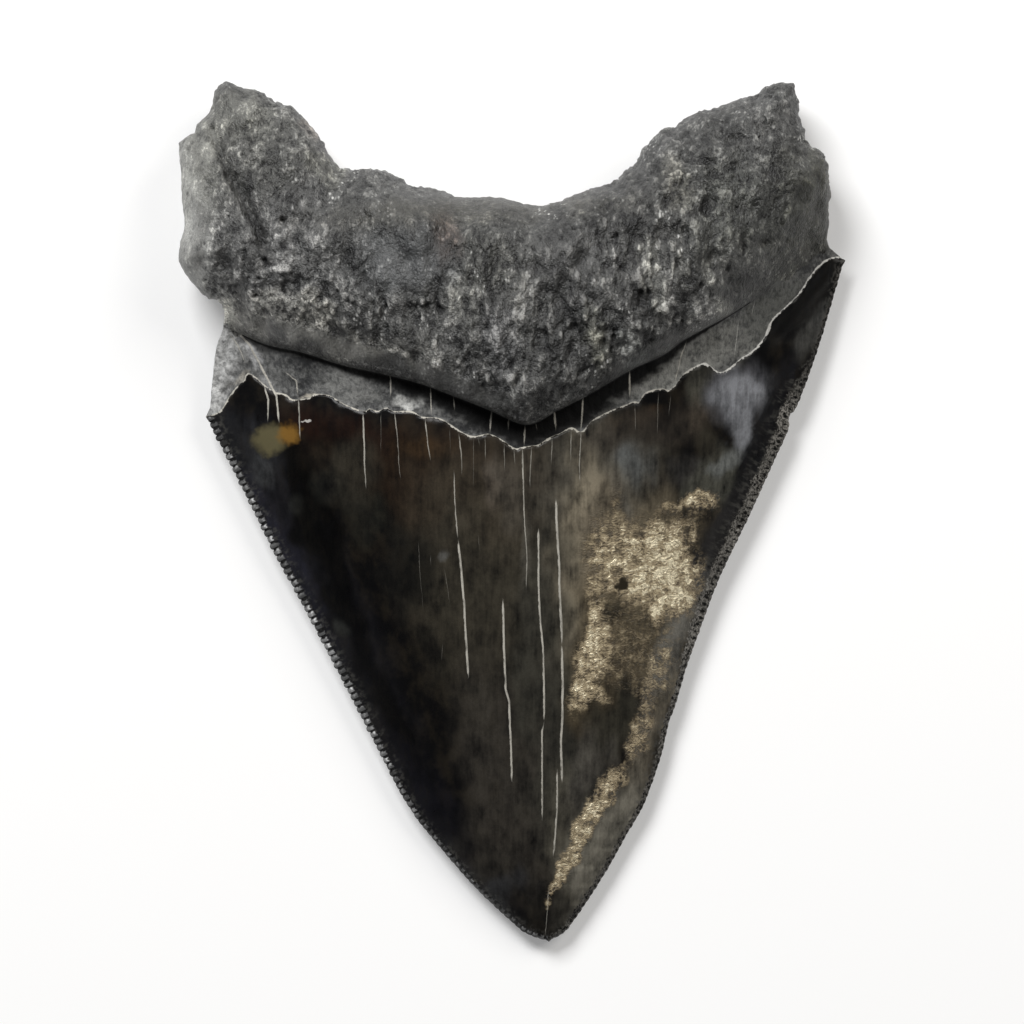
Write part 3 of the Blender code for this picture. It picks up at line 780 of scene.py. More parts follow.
@dataclass
class Tooth:
    """The whole tooth: root, neck and crown as one piece."""

    crown: Crown = Crown()
    neck: Neck = Neck()
    root: Root = Root()
    name: str = "fossil_tooth"
    slot: str = "fossil"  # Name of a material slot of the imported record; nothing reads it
    coarsest: float = 0.45  # Longest side of a triangle that is seen
    bead_side: float = 0.3  # Longest side of a triangle on the right serrations
    seen_from_the_side: float = 5.0  # How far in from the outline the labial bone is seen
    plain_from: float = 2.0  # How far in from the outline the labial enamel is plain
    rim_rise: float = 9.0  # Length over which the rim rises from the crown to the root
    labial_rounding: float = 5.0  # Width over which the labial face rounds up to the rim
    labial_step: float = 0.3  # Depth of the labial bone below the enamel beside it

    def build(self) -> bpy.types.Object:
        """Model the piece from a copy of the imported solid.

        Returns:
            The finished mesh object, at the origin, riding on the tooth's body.
        """
        piece = self.welded_copy()
        rim = Rim.of(piece.data)
        self.refine(piece, rim)
        self.shape(piece.data, rim)
        select_only(piece)
        bpy.ops.object.shade_smooth()
        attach(piece, "root")
        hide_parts(TOOTH_NODE)
        return piece

    def welded_copy(self) -> bpy.types.Object:
        """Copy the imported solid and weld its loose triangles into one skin.

        Returns:
            The copy.
        """
        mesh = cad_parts[TOOTH_NODE].data.copy()
        mesh.name = self.name
        mesh.materials.clear()
        piece = bpy.data.objects.new(self.name, mesh)
        bpy.context.scene.collection.objects.link(piece)
        select_only(piece)
        bpy.ops.mesh.customdata_custom_splitnormals_clear()
        bpy.ops.object.mode_set(mode="EDIT")
        bpy.ops.mesh.select_all(action="SELECT")
        bpy.ops.mesh.remove_doubles(threshold=2e-6)
        bpy.ops.object.mode_set(mode="OBJECT")
        return piece

    @staticmethod
    def subdivide(piece: bpy.types.Object, chosen: np.ndarray, cuts: int) -> None:
        """Subdivide some faces of the piece and make triangles of all.

        Args:
            piece: The mesh object.
            chosen: Whether each face is subdivided.
            cuts: Cuts of each of its edges.
        """
        bpy.context.tool_settings.mesh_select_mode = (False, False, True)
        bpy.ops.object.mode_set(mode="EDIT")
        bpy.ops.mesh.select_all(action="DESELECT")
        bpy.ops.object.mode_set(mode="OBJECT")
        piece.data.polygons.foreach_set("select", chosen)
        bpy.ops.object.mode_set(mode="EDIT")
        bpy.ops.mesh.subdivide(number_cuts=cuts, smoothness=0.0)
        bpy.ops.mesh.select_all(action="SELECT")
        bpy.ops.mesh.quads_convert_to_tris(quad_method="BEAUTY", ngon_method="BEAUTY")
        bpy.ops.object.mode_set(mode="OBJECT")

    def refine(self, piece: bpy.types.Object, rim: Rim) -> None:
        """Subdivide the skin: all of it, and again where its triangles are still coarse.

        Args:
            piece: The welded copy.
            rim: The outline of the tooth.
        """
        enamel = Line.smooth(LABIAL_MARGIN, 2)
        for step in range(4):
            corners = read(piece.data.polygons, "vertices", np.int64)
            triangles = read(piece.data.vertices, "co")[corners] / MM
            plan = triangles.mean(axis=1)[:, :2]
            side = np.linalg.norm(triangles - np.roll(triangles, 1, axis=1), axis=2).max(axis=1)
            up = read(piece.data.polygons, "normal")[:, 2] > 0.0
            edge, bone = rim.line.nearest(plan)[0], enamel.gap(plan)
            plain = ~up & (bone < -0.8) & (edge > self.plain_from)
            seen = up | (bone > -0.3) & (edge < self.seen_from_the_side)
            right = (edge < self.crown.bead_reach) & (rim.course.nearest(plan)[2] > rim.right)
            chosen = (plain, ~plain, seen & (side > self.coarsest), up & right & (side > self.bead_side))
            self.subdivide(piece, chosen[step], 2 if step == 1 else 1)

    @staticmethod
    def faces_of(mesh: bpy.types.Mesh) -> np.ndarray:
        """Find which face of the tooth each vertex is on.

        Args:
            mesh: The refined mesh.

        Returns:
            The values of Face.
        """
        up, corners = read(mesh.polygons, "normal")[:, 2] > 0.0, read(mesh.polygons, "vertices", np.int64)
        above, under = (np.zeros(len(mesh.vertices), bool) for _ in range(2))
        above[corners[up].ravel()] = True
        under[corners[~up].ravel()] = True
        face = np.where(above, Face.LINGUAL.value, Face.LABIAL.value)
        return np.where(above & under, Face.RIM.value, face)

    def shape(self, mesh: bpy.types.Mesh, rim: Rim) -> None:
        """Move every point of the skin to the form and relief of the real surface.

        Args:
            mesh: The refined mesh.
            rim: The outline of the tooth.
        """
        places = read(mesh.vertices, "co") / MM
        survey = Survey.of(places[:, :2].copy(), self.faces_of(mesh), rim)
        sides, crown_rim = rim.sides(), self.crown.rims(survey.plan)
        height = crown_rim + (self.root.rim - crown_rim) * ease(survey.margin / self.rim_rise)
        lingual, labial = self.lingual(survey, height, sides), self.labial(survey, height, sides)
        places[:, 2] = np.select([survey.face > 0, survey.face < 0], [lingual, labial], height)
        rounded, outward = self.crown.bead(rim, survey)
        reach = np.exp(-survey.edge / 0.3) * self.crown.bead_depth
        places[:, :2] += rim.outward(survey.where) * (outward * reach)[:, None]
        back = self.crown.bead_relief * (rounded - 0.5) * hump(survey.edge, self.crown.bead_reach)
        back *= rim.beads(survey.where)[1] * ease(survey.edge / 0.12)
        places[:, 2] += back * survey.face
        self.store(mesh, places)
        self.roughen(mesh, places, survey)
        self.mark(mesh, survey, rim)

    @staticmethod
    def store(mesh: bpy.types.Mesh, places: np.ndarray) -> None:
        """Put the points, given in millimetres, into the mesh."""
        mesh.vertices.foreach_set("co", (places * MM).ravel())
        mesh.update()

    def lingual(self, survey: Survey, rim: np.ndarray, sides: tuple[np.ndarray, np.ndarray]) -> np.ndarray:
        """Join the root above the ledge to the neck and crown below it.

        Args:
            survey: The points of the mesh.
            rim: Height of the rim beside each point.
            sides: The left and the right side of the tooth.

        Returns:
            The height of each point of the lingual face.
        """
        crown = self.crown.lingual(survey, rim, sides)
        neck = crown - self.neck.carve(survey, self.root.ledge_share(survey.plan[:, 0]))
        height = neck + (self.root.lingual(survey, rim, crown) - neck) * ease(0.5 + survey.ledge / 0.3)
        return np.maximum(height, rim + 0.35 * ease(survey.edge / 0.8) + 0.01)

    def labial(self, survey: Survey, rim: np.ndarray, sides: tuple[np.ndarray, np.ndarray]) -> np.ndarray:
        """Shape the face on which the tooth lies.

        Args:
            survey: The points of the mesh.
            rim: Height of the rim beside each point.
            sides: The left and the right side of the tooth.

        Returns:
            The height of each point of the labial face.
        """
        x, y = survey.plan.T
        crown = rim * self.crown.lens(survey.plan, sides, 2.3)
        root = rim * (1.0 - quarter_round(survey.edge / self.labial_rounding))
        height = crown + (root - crown) * ease((survey.labial + 5.0) / 13.0)
        arch = 1.3 * hump(y - 0.18 * x - 15.0, 8.0) + 1.8 * hump(x, 11.0) * ease(survey.labial / 8.0)
        worn = self.labial_step * np.exp(-np.maximum(survey.labial, 0.0) / 5.0)
        worn += self.root.labial_lumps * self.root.knobs(survey.plan, 11.0)
        height += (arch + worn * ease(survey.labial / 0.3)) * ease(survey.edge / 1.4) - 0.16
        return np.clip(height, 0.0, rim - 0.3 * ease(survey.edge / 0.8) - 0.01)

    def roughen(self, mesh: bpy.types.Mesh, places: np.ndarray, survey: Survey) -> None:
        """Raise and sink the bone along its own normals, and note how much as an attribute.

        Args:
            mesh: The shaped mesh.
            places: Its points in millimetres.
            survey: How they lie to the lines of the tooth.
        """
        band = 0.5 + 1.7 * ease((np.abs(survey.plan[:, 0] - self.root.ledge_middle) - 9.0) / 10.0)
        share = np.where(survey.face < 0, ease(survey.labial / 0.6), ease((survey.ledge - 0.1) / band))
        rough = np.ones(len(places))
        for stain in self.root.calm:
            rough *= 1.0 - stain.cover(survey.plan)
        share *= rough * (1.0 + np.maximum.reduce([stain.cover(survey.plan) for stain in self.root.knobbly]))
        worn = 0.3 * ease(survey.margin / 0.8) * ease(-survey.ledge / 1.5) * (survey.face >= 0)
        share = np.maximum(share, worn)
        bone, relief = share > 0.0, np.zeros(len(places))
        relief[bone] = self.root.relief(places[bone]) * share[bone]
        places += read(mesh.vertices, "normal") * relief[:, None]
        places[:, 2] = np.maximum(places[:, 2], 0.0)
        self.store(mesh, places)
        self.attribute(mesh, "rough", 0.3 + 0.7 * rough)
        self.attribute(mesh, "relief", relief)

    @staticmethod
    def attribute(mesh: bpy.types.Mesh, name: str, values: np.ndarray) -> None:
        """Store one number for each vertex under a name that the finishes read."""
        layer = mesh.attributes.new(name, "FLOAT", "POINT")
        layer.data.foreach_set("value", values.astype(np.float32))

    def mark(self, mesh: bpy.types.Mesh, survey: Survey, rim: Rim) -> None:
        """Note on the mesh what the finishes follow: margins, ledge, rim, serrations, cracks.

        Args:
            mesh: The shaped mesh.
            survey: How its points lie to the lines of the tooth.
            rim: The outline of the tooth.
        """
        (x, y), under, left = survey.plan.T, survey.face < 0, survey.where > rim.tip
        frayed = ease((x - self.root.ledge_end - 1.0) / 4.0) + 1.5 * ease((-29.6 - x) / 1.2)
        ledge = survey.ledge + frayed * lattice_noise(survey.plan, (1.2, 1.6), 37.0)
        patchy = 0.5 + 0.7 * lattice_noise(survey.plan, (2.4, 2.4), 43.0)
        dim = np.interp(y, (-38.0, -26.0, 0.0, 6.0, 9.0), (0.45, 1.0, 1.0, 0.6, 0.5))
        plain = np.interp(y, (-24.0, -14.0, 13.0, 16.5), (0.6, 1.0, 1.0, 0.25))
        reach = np.interp(y, (-18.0, -12.0, 13.5, 17.0), (0.5, 1.15, 1.15, 0.35))
        count, serrated = rim.beads(survey.where)
        notes = {
            "enamel_gap": np.where(under, survey.labial, survey.margin),
            "bone_gap": np.where(under, survey.labial, ledge),
            # Where the painted shade of the trough under the ledge lies
            "trough": self.neck.painted_shade_reach(survey),
            "bold": ease((x - 18.0) / 4.0),
            "edge": survey.edge,
            "lingual": np.where(under, 0.0, 1.0),
            "count": count,
            "serrated": serrated,
            # On the left the beads are paler: partly their own tone, partly painted light from the key soft
            # box.
            "bead_tone": np.where(left, (0.07 + 0.24 * patchy) * dim, 0.006),
            "notch_tone": np.where(left, 0.008, (0.085 + 0.10 * patchy) * plain),
            "dotted": np.where(left, 0.0, 1.0),
            "inward": survey.edge / np.where(left, 0.3 + 0.4 * self.crown.kept(rim, survey), reach),
        }
        labial = crack_channels(LABIAL_CRACKS)
        for index, channel in enumerate(crack_channels(LINGUAL_CRACKS)):
            gap, mark = self.crack_marks(channel, survey, ~under)
            if index < len(labial):
                under_gap, under_mark = self.crack_marks(labial[index], survey, under)
                gap, mark = np.where(under, under_gap, gap), np.where(under, under_mark, mark)
            notes |= {f"crack_gap_{index}": gap, f"crack_mark_{index}": mark}
        for name, values in notes.items():
            self.attribute(mesh, name, values)

    @staticmethod
    def crack_marks(channel: list[Crack], survey: Survey, here: np.ndarray) -> tuple[np.ndarray, np.ndarray]:
        """Measure the points against the cracks of one channel.

        Args:
            channel: Cracks that keep clear of each other.
            survey: The points of the mesh.
            here: Whether each point is on the face that the cracks are in.

        Returns:
            The signed distance to the nearest crack, and its strength close to it.
        """
        gap, mark = np.full(len(here), FAR), np.zeros(len(here))
        for crack in channel:
            line = crack.line()
            low, high = line.points.min(axis=0) - CRACK_SEARCH, line.points.max(axis=0) + CRACK_SEARCH
            rows = np.flatnonzero(here & ((survey.plan > low) & (survey.plan < high)).all(axis=1))
            distance, side, where = line.nearest(survey.plan[rows])
            closer = distance < np.abs(gap[rows])
            rows, distance, side, where = (array[closer] for array in (rows, distance, side, where))
            gap[rows] = distance * side
            start, end = (np.hypot(*(survey.plan[rows] - tip).T) for tip in line.points[[0, -1]])
            taper = ease(np.minimum(start, end) / CRACK_TAPER + 0.25)
            taper *= 1.0 - crack.fade * start / (start + end)
            fade = 1.0 - ease(2.0 * distance / CRACK_REACH - 1.0)
            mark[rows] = crack.strength * fade * taper * (where > 0.0) * (where < len(line.starts))
        return gap, mark


class Wire:
    """A socket of a material's nodes, on which sums are written as plain Python."""

    def __init__(self, tree: "Tree", socket: bpy.types.NodeSocket) -> None:
        """Hold a socket of a tree."""
        self.tree = tree
        self.socket = socket

    def sum(self, operation: str, *values: "Wire | float") -> "Wire":
        """Add a Math node that works on values."""
        return self.tree.node("ShaderNodeMath", {"operation": operation}, dict(enumerate(values)))

    def apply(self, operation: str) -> "Wire":
        """Add a Math node that works on this value alone."""
        return self.sum(operation, self)

    def __add__(self, other: "Wire | float") -> "Wire":
        """Add a value to this one."""
        return self.sum("ADD", self, other)

    __radd__ = __add__

    def __sub__(self, other: "Wire | float") -> "Wire":
        """Take a value from this one."""
        return self.sum("SUBTRACT", self, other)

    def __rsub__(self, other: float) -> "Wire":
        """Take this value from a number."""
        return self.sum("SUBTRACT", other, self)

    def __mul__(self, other: "Wire | float") -> "Wire":
        """Multiply this value by another."""
        return self.sum("MULTIPLY", self, other)

    __rmul__ = __mul__

    def __truediv__(self, other: "Wire | float") -> "Wire":
        """Divide this value by another."""
        return self.sum("DIVIDE", self, other)

    def __abs__(self) -> "Wire":
        """The value without its sign."""
        return self.sum("ABSOLUTE", self, 0.0)

    def most(self, other: "Wire | float") -> "Wire":
        """The larger of this value and another."""
        return self.sum("MAXIMUM", self, other)

    def least(self, other: "Wire | float") -> "Wire":
        """The smaller of this value and another."""
        return self.sum("MINIMUM", self, other)

    def ramp(self, low: float, high: float) -> "Wire":
        """Rise smoothly from 0 at the low value to 1 at the high one.

        Args:
            low: Value that gives 0; it may be the larger of the two.
            high: Value that gives 1.

        Returns:
            The rise.
        """
        settings = {"interpolation_type": "SMOOTHSTEP"}
        if low < high:
            return self.tree.node("ShaderNodeMapRange", settings, {0: self, 1: low, 2: high})
        return 1.0 - self.tree.node("ShaderNodeMapRange", settings, {0: self, 1: high, 2: low})


class Tree:
    """The nodes of one material."""

    def __init__(self, name: str) -> None:
        """Start a material that has no shader yet.

        Args:
            name: Name of the material.
        """
        self.material = bpy.data.materials.new(name)
        self.material.use_nodes = True
        self.nodes = self.material.node_tree.nodes
        self.links = self.material.node_tree.links
        self.nodes.remove(self.nodes["Principled BSDF"])

    def node(self, kind: str, settings: dict, inputs: dict, output: int | str = 0) -> Wire:
        """Add a node.

        Args:
            kind: Type of the node.
            settings: Its properties by name, set before its sockets.
            inputs: Values or wires by socket name or number.
            output: Name or number of the socket to go on from.

        Returns:
            The output socket.
        """
        made = self.nodes.new(kind)
        for name, value in settings.items():
            setattr(made, name, value)
        for key, value in inputs.items():
            if isinstance(value, Wire):
                self.links.new(value.socket, made.inputs[key])
            else:
                made.inputs[key].default_value = value
        return Wire(self, made.outputs[output])

    def finish(self, shader: Wire) -> None:
        """Give the material its shader."""
        self.links.new(shader.socket, self.nodes["Material Output"].inputs["Surface"])

    def surface(self, colour: Wire | Colour, roughness: Wire | float, height: Wire | None = None,
                uniform: dict | None = None, metallic: Wire | float = 0.0) -> Wire:
        """Make a Principled shader.

        Args:
            colour: Its base colour.
            roughness: Its roughness.
            height: Fine relief in millimetres, if it has any.
            uniform: Values that are the same all over it, by socket.
            metallic: Its share of bare metal.

        Returns:
            The shader.
        """
        colour = colour if isinstance(colour, Wire) else (*colour, 1.0)
        inputs = {"Base Color": colour, "Roughness": roughness, "Metallic": metallic, **(uniform or {})}
        if height is not None:
            relief = {"Strength": 1.0, "Distance": MM, "Height": height}
            inputs["Normal"] = self.node("ShaderNodeBump", {}, relief)
        return self.node("ShaderNodeBsdfPrincipled", {}, inputs)

    def attribute(self, name: str) -> Wire:
        """Read a number that the mesh carries."""
        return self.node("ShaderNodeAttribute", {"attribute_name": name}, {}, "Fac")

    def colours(self, name: str) -> tuple[Wire, Wire]:
        """Read a colour that the mesh carries, and its share."""
        source = self.node("ShaderNodeAttribute", {"attribute_name": name}, {}, "Color")
        return source, Wire(self, source.socket.node.outputs["Alpha"])

    @cached_property
    def place(self) -> Wire:
        """Position on the piece in millimetres."""
        position = self.node("ShaderNodeTexCoord", {}, {}, "Object")
        return self.vector("SCALE", {0: position, 3: 1.0 / MM})

    def vector(self, operation: str, inputs: dict, output: int | str = 0) -> Wire:
        """Add a Vector Math node."""
        return self.node("ShaderNodeVectorMath", {"operation": operation}, inputs, output)

    def noise(self, size: tuple[float, float, float], detail: float, roughness: float,
              output: int | str = 0, distortion: float = 0.0) -> Wire:
        """Noise with lumps of a given size.

        Args:
            size: Size of a lump along x, y and z in millimetres.
            detail: Number of finer layers.
            roughness: How strong they are.
            output: The output to go on from.
            distortion: How far the lumps are bent into curls.

        Returns:
            A value of 0 to 1, in the middle at 0.5.
        """
        inputs = {"Vector": self.vector("DIVIDE", {0: self.place, 1: size}), "Scale": 1.0}
        inputs |= {"Detail": detail, "Roughness": roughness, "Distortion": distortion}
        return self.node("ShaderNodeTexNoise", {}, inputs, output)

    def cells(self, size: tuple[float, float, float]) -> tuple[Wire, Wire]:
        """Split space into cells of a given size.

        Args:
            size: Size of a cell along x, y and z in millimetres.

        Returns:
            The distance to the middle of the cell, 0 to about 1, and a chance number of each cell.
        """
        counted = self.vector("DIVIDE", {0: self.place, 1: size})
        distance = self.node("ShaderNodeTexVoronoi", {}, {"Vector": counted, "Scale": 1.0})
        colour = Wire(self, distance.socket.node.outputs["Color"])
        return distance, self.node("ShaderNodeSeparateColor", {}, {0: colour})

    def mix(self, share: Wire | float, first: Wire | Colour, second: Wire | Colour,
            blend: str = "MIX") -> Wire:
        """Mix two colours.

        Args:
            share: Share of the second colour.
            first: The first colour.
            second: The second colour.
            blend: How they mix.

        Returns:
            The mixed colour.
        """
        first, second = (
            colour if isinstance(colour, Wire) else (*colour, 1.0) for colour in (first, second)
        )
        settings = {"data_type": "RGBA", "blend_type": blend}
        return self.node("ShaderNodeMix", settings, {0: share, 6: first, 7: second}, 2)

    def grey(self, value: Wire) -> Wire:
        """A grey of a given value."""
        return self.node("ShaderNodeCombineColor", {}, {0: value, 1: value, 2: value})


@dataclass
class Ground:
    """The plan of the finished mesh, on which stains are laid before the nodes refine them."""

    mesh: bpy.types.Mesh
    plan: np.ndarray  # Plan position of each of the mesh's points
    swirled: np.ndarray  # The same places, pushed about so that a large stain comes out ragged
    ruffled: np.ndarray  # The same places, pushed about a little, for small stains
    lingual: np.ndarray  # 1 on the lingual face, 0 on the labial face
    around: np.ndarray  # 1 on the lingual face, fading out beyond the rim on the labial face

    @classmethod
    def of(cls, mesh: bpy.types.Mesh) -> "Ground":
        """Read the ground from the finished mesh.

        Args:
            mesh: The finished mesh.

        Returns:
            The ground.
        """
        plan = read(mesh.vertices, "co")[:, :2] / MM
        lingual, edge = (np.empty(len(mesh.vertices), np.float32) for _ in range(2))
        mesh.attributes["lingual"].data.foreach_get("value", lingual)
        mesh.attributes["edge"].data.foreach_get("value", edge)
        around = np.maximum(lingual, 1.0 - ease(edge / 5.0))
        return cls(mesh, plan, cls.swirl(plan, SWIRLS), cls.swirl(plan, RUFFLES), lingual, around)

    @staticmethod
    def swirl(plan: np.ndarray, layers: Places) -> np.ndarray:
        """Push places about.

        Args:
            plan: The places.
            layers: Size of the swirls and how far they push, for each layer of them.

        Returns:
            The places pushed about.
        """
        shift = np.zeros_like(plan)
        for size, reach in layers:
            pushed = [lattice_noise(plan, (size, size * 1.5), seed + size) for seed in (61.0, 83.0)]
            shift += reach * np.column_stack(pushed)
        return plan + shift

    def cover(self, stain: Stain) -> np.ndarray:
        """Share of a stain at each point, whichever face it is on."""
        return stain.cover(self.ruffled if min(stain.wide, stain.high) < SMALL_STAIN else self.swirled)

    def veil(self, name: str, stains: tuple[Stain, ...]) -> None:
        """Lay stains over each other and store their colour and share for the finish.

        Args:
            name: Name of the attribute.
            stains: The stains, the lowest first.
        """
        colour = np.zeros((len(self.plan), 3))
        share = np.zeros(len(self.plan))
        for stain in stains:
            cover = self.cover(stain) * self.lingual
            colour = colour * (1.0 - cover)[:, None] + np.outer(cover, stain.tint)
            share = share * (1.0 - cover) + cover
        colour /= np.maximum(share, 1e-4)[:, None]
        self.store(name, np.column_stack([colour, share]))

    def tone(self, name: str, stains: tuple[Stain, ...], drift: np.ndarray) -> None:
        """Multiply the tones of stains and store them for the finish.

        Args:
            name: Name of the attribute.
            stains: The stains, with what they multiply the colour by.
            drift: A slow change of tone all over.
        """
        tone = np.ones((len(self.plan), 3)) * drift[:, None]
        for stain in stains:
            cover = self.cover(stain) * self.around
            tone *= 1.0 + np.outer(cover, np.array(stain.colour) - 1.0)
        self.store(name, np.column_stack([tone, np.ones(len(tone))]))

    def zone(self, stains: tuple[Stain, ...]) -> np.ndarray:
        """Share of the strongest stain at each point."""
        covers = [self.cover(stain) for stain in stains]
        return np.maximum.reduce(covers) * self.lingual

    def store(self, name: str, colours: np.ndarray) -> None:
        """Store a colour with its share for each point."""
        layer = self.mesh.attributes.new(name, "FLOAT_COLOR", "POINT")
        layer.data.foreach_set("color", colours.astype(np.float32).ravel())


@dataclass(frozen=True)
class Bone:
    """Grey fossil bone of the root: craggy, pitted, with painted sparkles of light on its grains."""

    dark: Colour = (0.008, 0.008, 0.008)  # Colour in the pits, partly painted shade
    middle: Colour = (0.056, 0.056, 0.054)  # Colour of most of it
    light: Colour = (0.235, 0.232, 0.220)  # Colour of the knobs, partly painted light on their raised tops
    painted_sparkle: Colour = (0.62, 0.62, 0.60)  # Colour of the painted sparkles on the mineral grains
    # Places that are lighter or darker than the rest; a few are painted light or shade, as marked below.
    tones: tuple[Stain, ...] = patches(
        # The first stain, on the left flank, is painted light where the flank faces the key soft box.
        (190, 215, 28, 105, -4, 1, (4.6, 4.6, 4.5), 0.9), (205, 146, 18, 26, 20, 1, (0.7, 0.7, 0.69)),
        (222, 316, 12, 34, 0, 1, (2.6, 2.6, 2.55), 0.8), (250, 150, 50, 50, 20, 1, (1.4, 1.4, 1.36)),
        (280, 250, 70, 60, 0, 1, (1.45, 1.45, 1.47)), (320, 328, 100, 20, -14, 1, (3, 2.95, 2.8), 0.8),
        # Both stains here are painted shade in the furrow of the left lobe.
        (240, 192, 4, 56, 26, 0.95, (0.45, 0.45, 0.45), 0.8), (262, 236, 6, 26, 15, 0.8, (0.5, 0.5, 0.5)),
        (235, 105, 30, 26, 0, 1, (1.35, 1.35, 1.3)), (327, 172, 22, 13, -40, 1, (1.5, 1.5, 1.4), 0.6),
        (310, 131, 14, 5, -50, 1, (2.2, 2, 1.9), 0.7), (447, 238, 14, 24, 10, 1, (0.8, 0.66, 0.6)),
        (405, 262, 48, 34, 10, 1, (0.92, 0.95, 1)), (480, 212, 150, 14, 3, 1, (0.8, 0.78, 0.72)),
        (480, 270, 34, 50, -8, 1, (1.3, 1.3, 1.25)), (464, 330, 16, 44, -12, 1, (1.5, 1.5, 1.5)),
        (500, 340, 14, 40, 5, 1, (1.35, 1.35, 1.4)), (570, 290, 34, 60, 0, 1, (0.72, 0.72, 0.73)),
        (652, 282, 11, 36, 10, 0.95, (2.5, 2.5, 2.4), 0.7),
        (596, 340, 12, 30, 12, 0.95, (2.1, 2.1, 1.85), 0.8),
        (628, 352, 16, 22, 10, 0.9, (1.7, 1.75, 1.75)), (674, 186, 13, 28, 10, 0.95, (2.2, 2.15, 2), 0.8),
        (680, 275, 8, 20, 6, 0.9, (1.8, 1.8, 1.75)), (705, 270, 6, 18, 4, 0.9, (1.7, 1.7, 1.65)),
        (722, 309, 7, 10, 0, 0.95, (2.1, 2.1, 2)), (590, 255, 5, 18, 5, 0.9, (1.8, 1.8, 1.8)),
        (735, 200, 60, 46, 0, 1, (0.86, 0.88, 0.84)), (800, 225, 36, 70, 0, 1, (0.8, 0.8, 0.74)),
        # (812, 200) is painted shade on the right flank, which faces away from the key soft box.
        (812, 200, 20, 46, 0, 1, (0.66, 0.65, 0.56), 0.6), (700, 318, 24, 20, 20, 1, (1.9, 1.9, 1.9)),
        (784, 282, 7, 24, -28, 0.9, (2.2, 2.2, 2.1), 0.7), (720, 250, 60, 40, 0, 1, (0.9, 0.9, 0.88)),
    )
    # Places where the painted sparkles of the mineral grains crowd.
    painted_glitter: tuple[Stain, ...] = patches(
        (355, 150, 22, 30, 0), (292, 196, 16, 14, 0), (335, 205, 20, 14, 0), (300, 300, 26, 20, 0),
        (260, 310, 22, 16, 0), (385, 330, 50, 30, -10), (450, 360, 40, 24, -10), (560, 215, 40, 14, 0),
        (700, 312, 20, 16, 20), (620, 330, 24, 24, 0), (585, 380, 36, 18, 15), (800, 130, 12, 16, 0),
        (650, 150, 8, 20, -30), (665, 250, 20, 30, 0), (480, 280, 40, 30, 0),
    )

    def lay(self, ground: Ground) -> None:
        """Lay the tones and the painted glitter on the ground.

        Args:
            ground: The plan of the mesh.
        """
        broad = lattice_noise(ground.plan, (4.0, 8.0), 12.0)
        broad += 0.9 * lattice_noise(ground.plan, (1.4, 3.8), 14.0)
        ground.tone("bone_tone", self.tones, 1.08 + 0.55 * broad)
        drift = lattice_noise(ground.plan, (2.6, 3.2), 71.0)
        crowd = np.maximum(ground.zone(self.painted_glitter), 0.25) * ease(0.45 + 2.4 * drift)
        Tooth.attribute(ground.mesh, "painted_glitter", crowd)

    def shader(self, tree: Tree) -> Wire:
        """Make the shader of the bone.

        Args:
            tree: Nodes to add to.

        Returns:
            The shader.
        """
        grain = tree.noise((0.22, 0.33, 0.22), 2.0, 0.65)
        patch = tree.noise((1.1, 1.9, 1.1), 2.0, 0.6)
        middle, chance = tree.cells((0.34, 0.58, 0.34))
        raised = (grain - 0.5) * 1.0 + (patch - 0.5) * 1.4 + (chance - 0.5) * 0.3
        # The tone follows the relief as well as the grain: painted shade in the pits and painted light on the
        # knobs.
        raised = raised * tree.attribute("rough") + tree.attribute("relief") * 1.2 + 0.45
        colour = tree.mix(raised.ramp(0.0, 0.5), self.dark, self.middle)
        colour = tree.mix(raised.ramp(0.5, 1.05), colour, self.light)
        tone, _ = tree.colours("bone_tone")
        colour = tree.mix(1.0, colour, tone, "MULTIPLY")
        # Painted highlights: bright sparkles on raised grains, where the key soft box would glint.
        painted_sparkle_cell = chance.ramp(0.55, 0.95) * middle.ramp(0.55, 0.2)
        painted_sparkle = painted_sparkle_cell * tree.attribute("painted_glitter") * raised.ramp(0.3, 0.7)
        colour = tree.mix(painted_sparkle, colour, self.painted_sparkle)
        roughness = 0.45 + (grain - 0.5) * 0.3 - painted_sparkle * 0.15
        height = ((grain - 0.5) * 0.30 - middle * 0.12) * tree.attribute("rough")
        return tree.surface(colour, roughness, height, {"Specular IOR Level": 0.5})


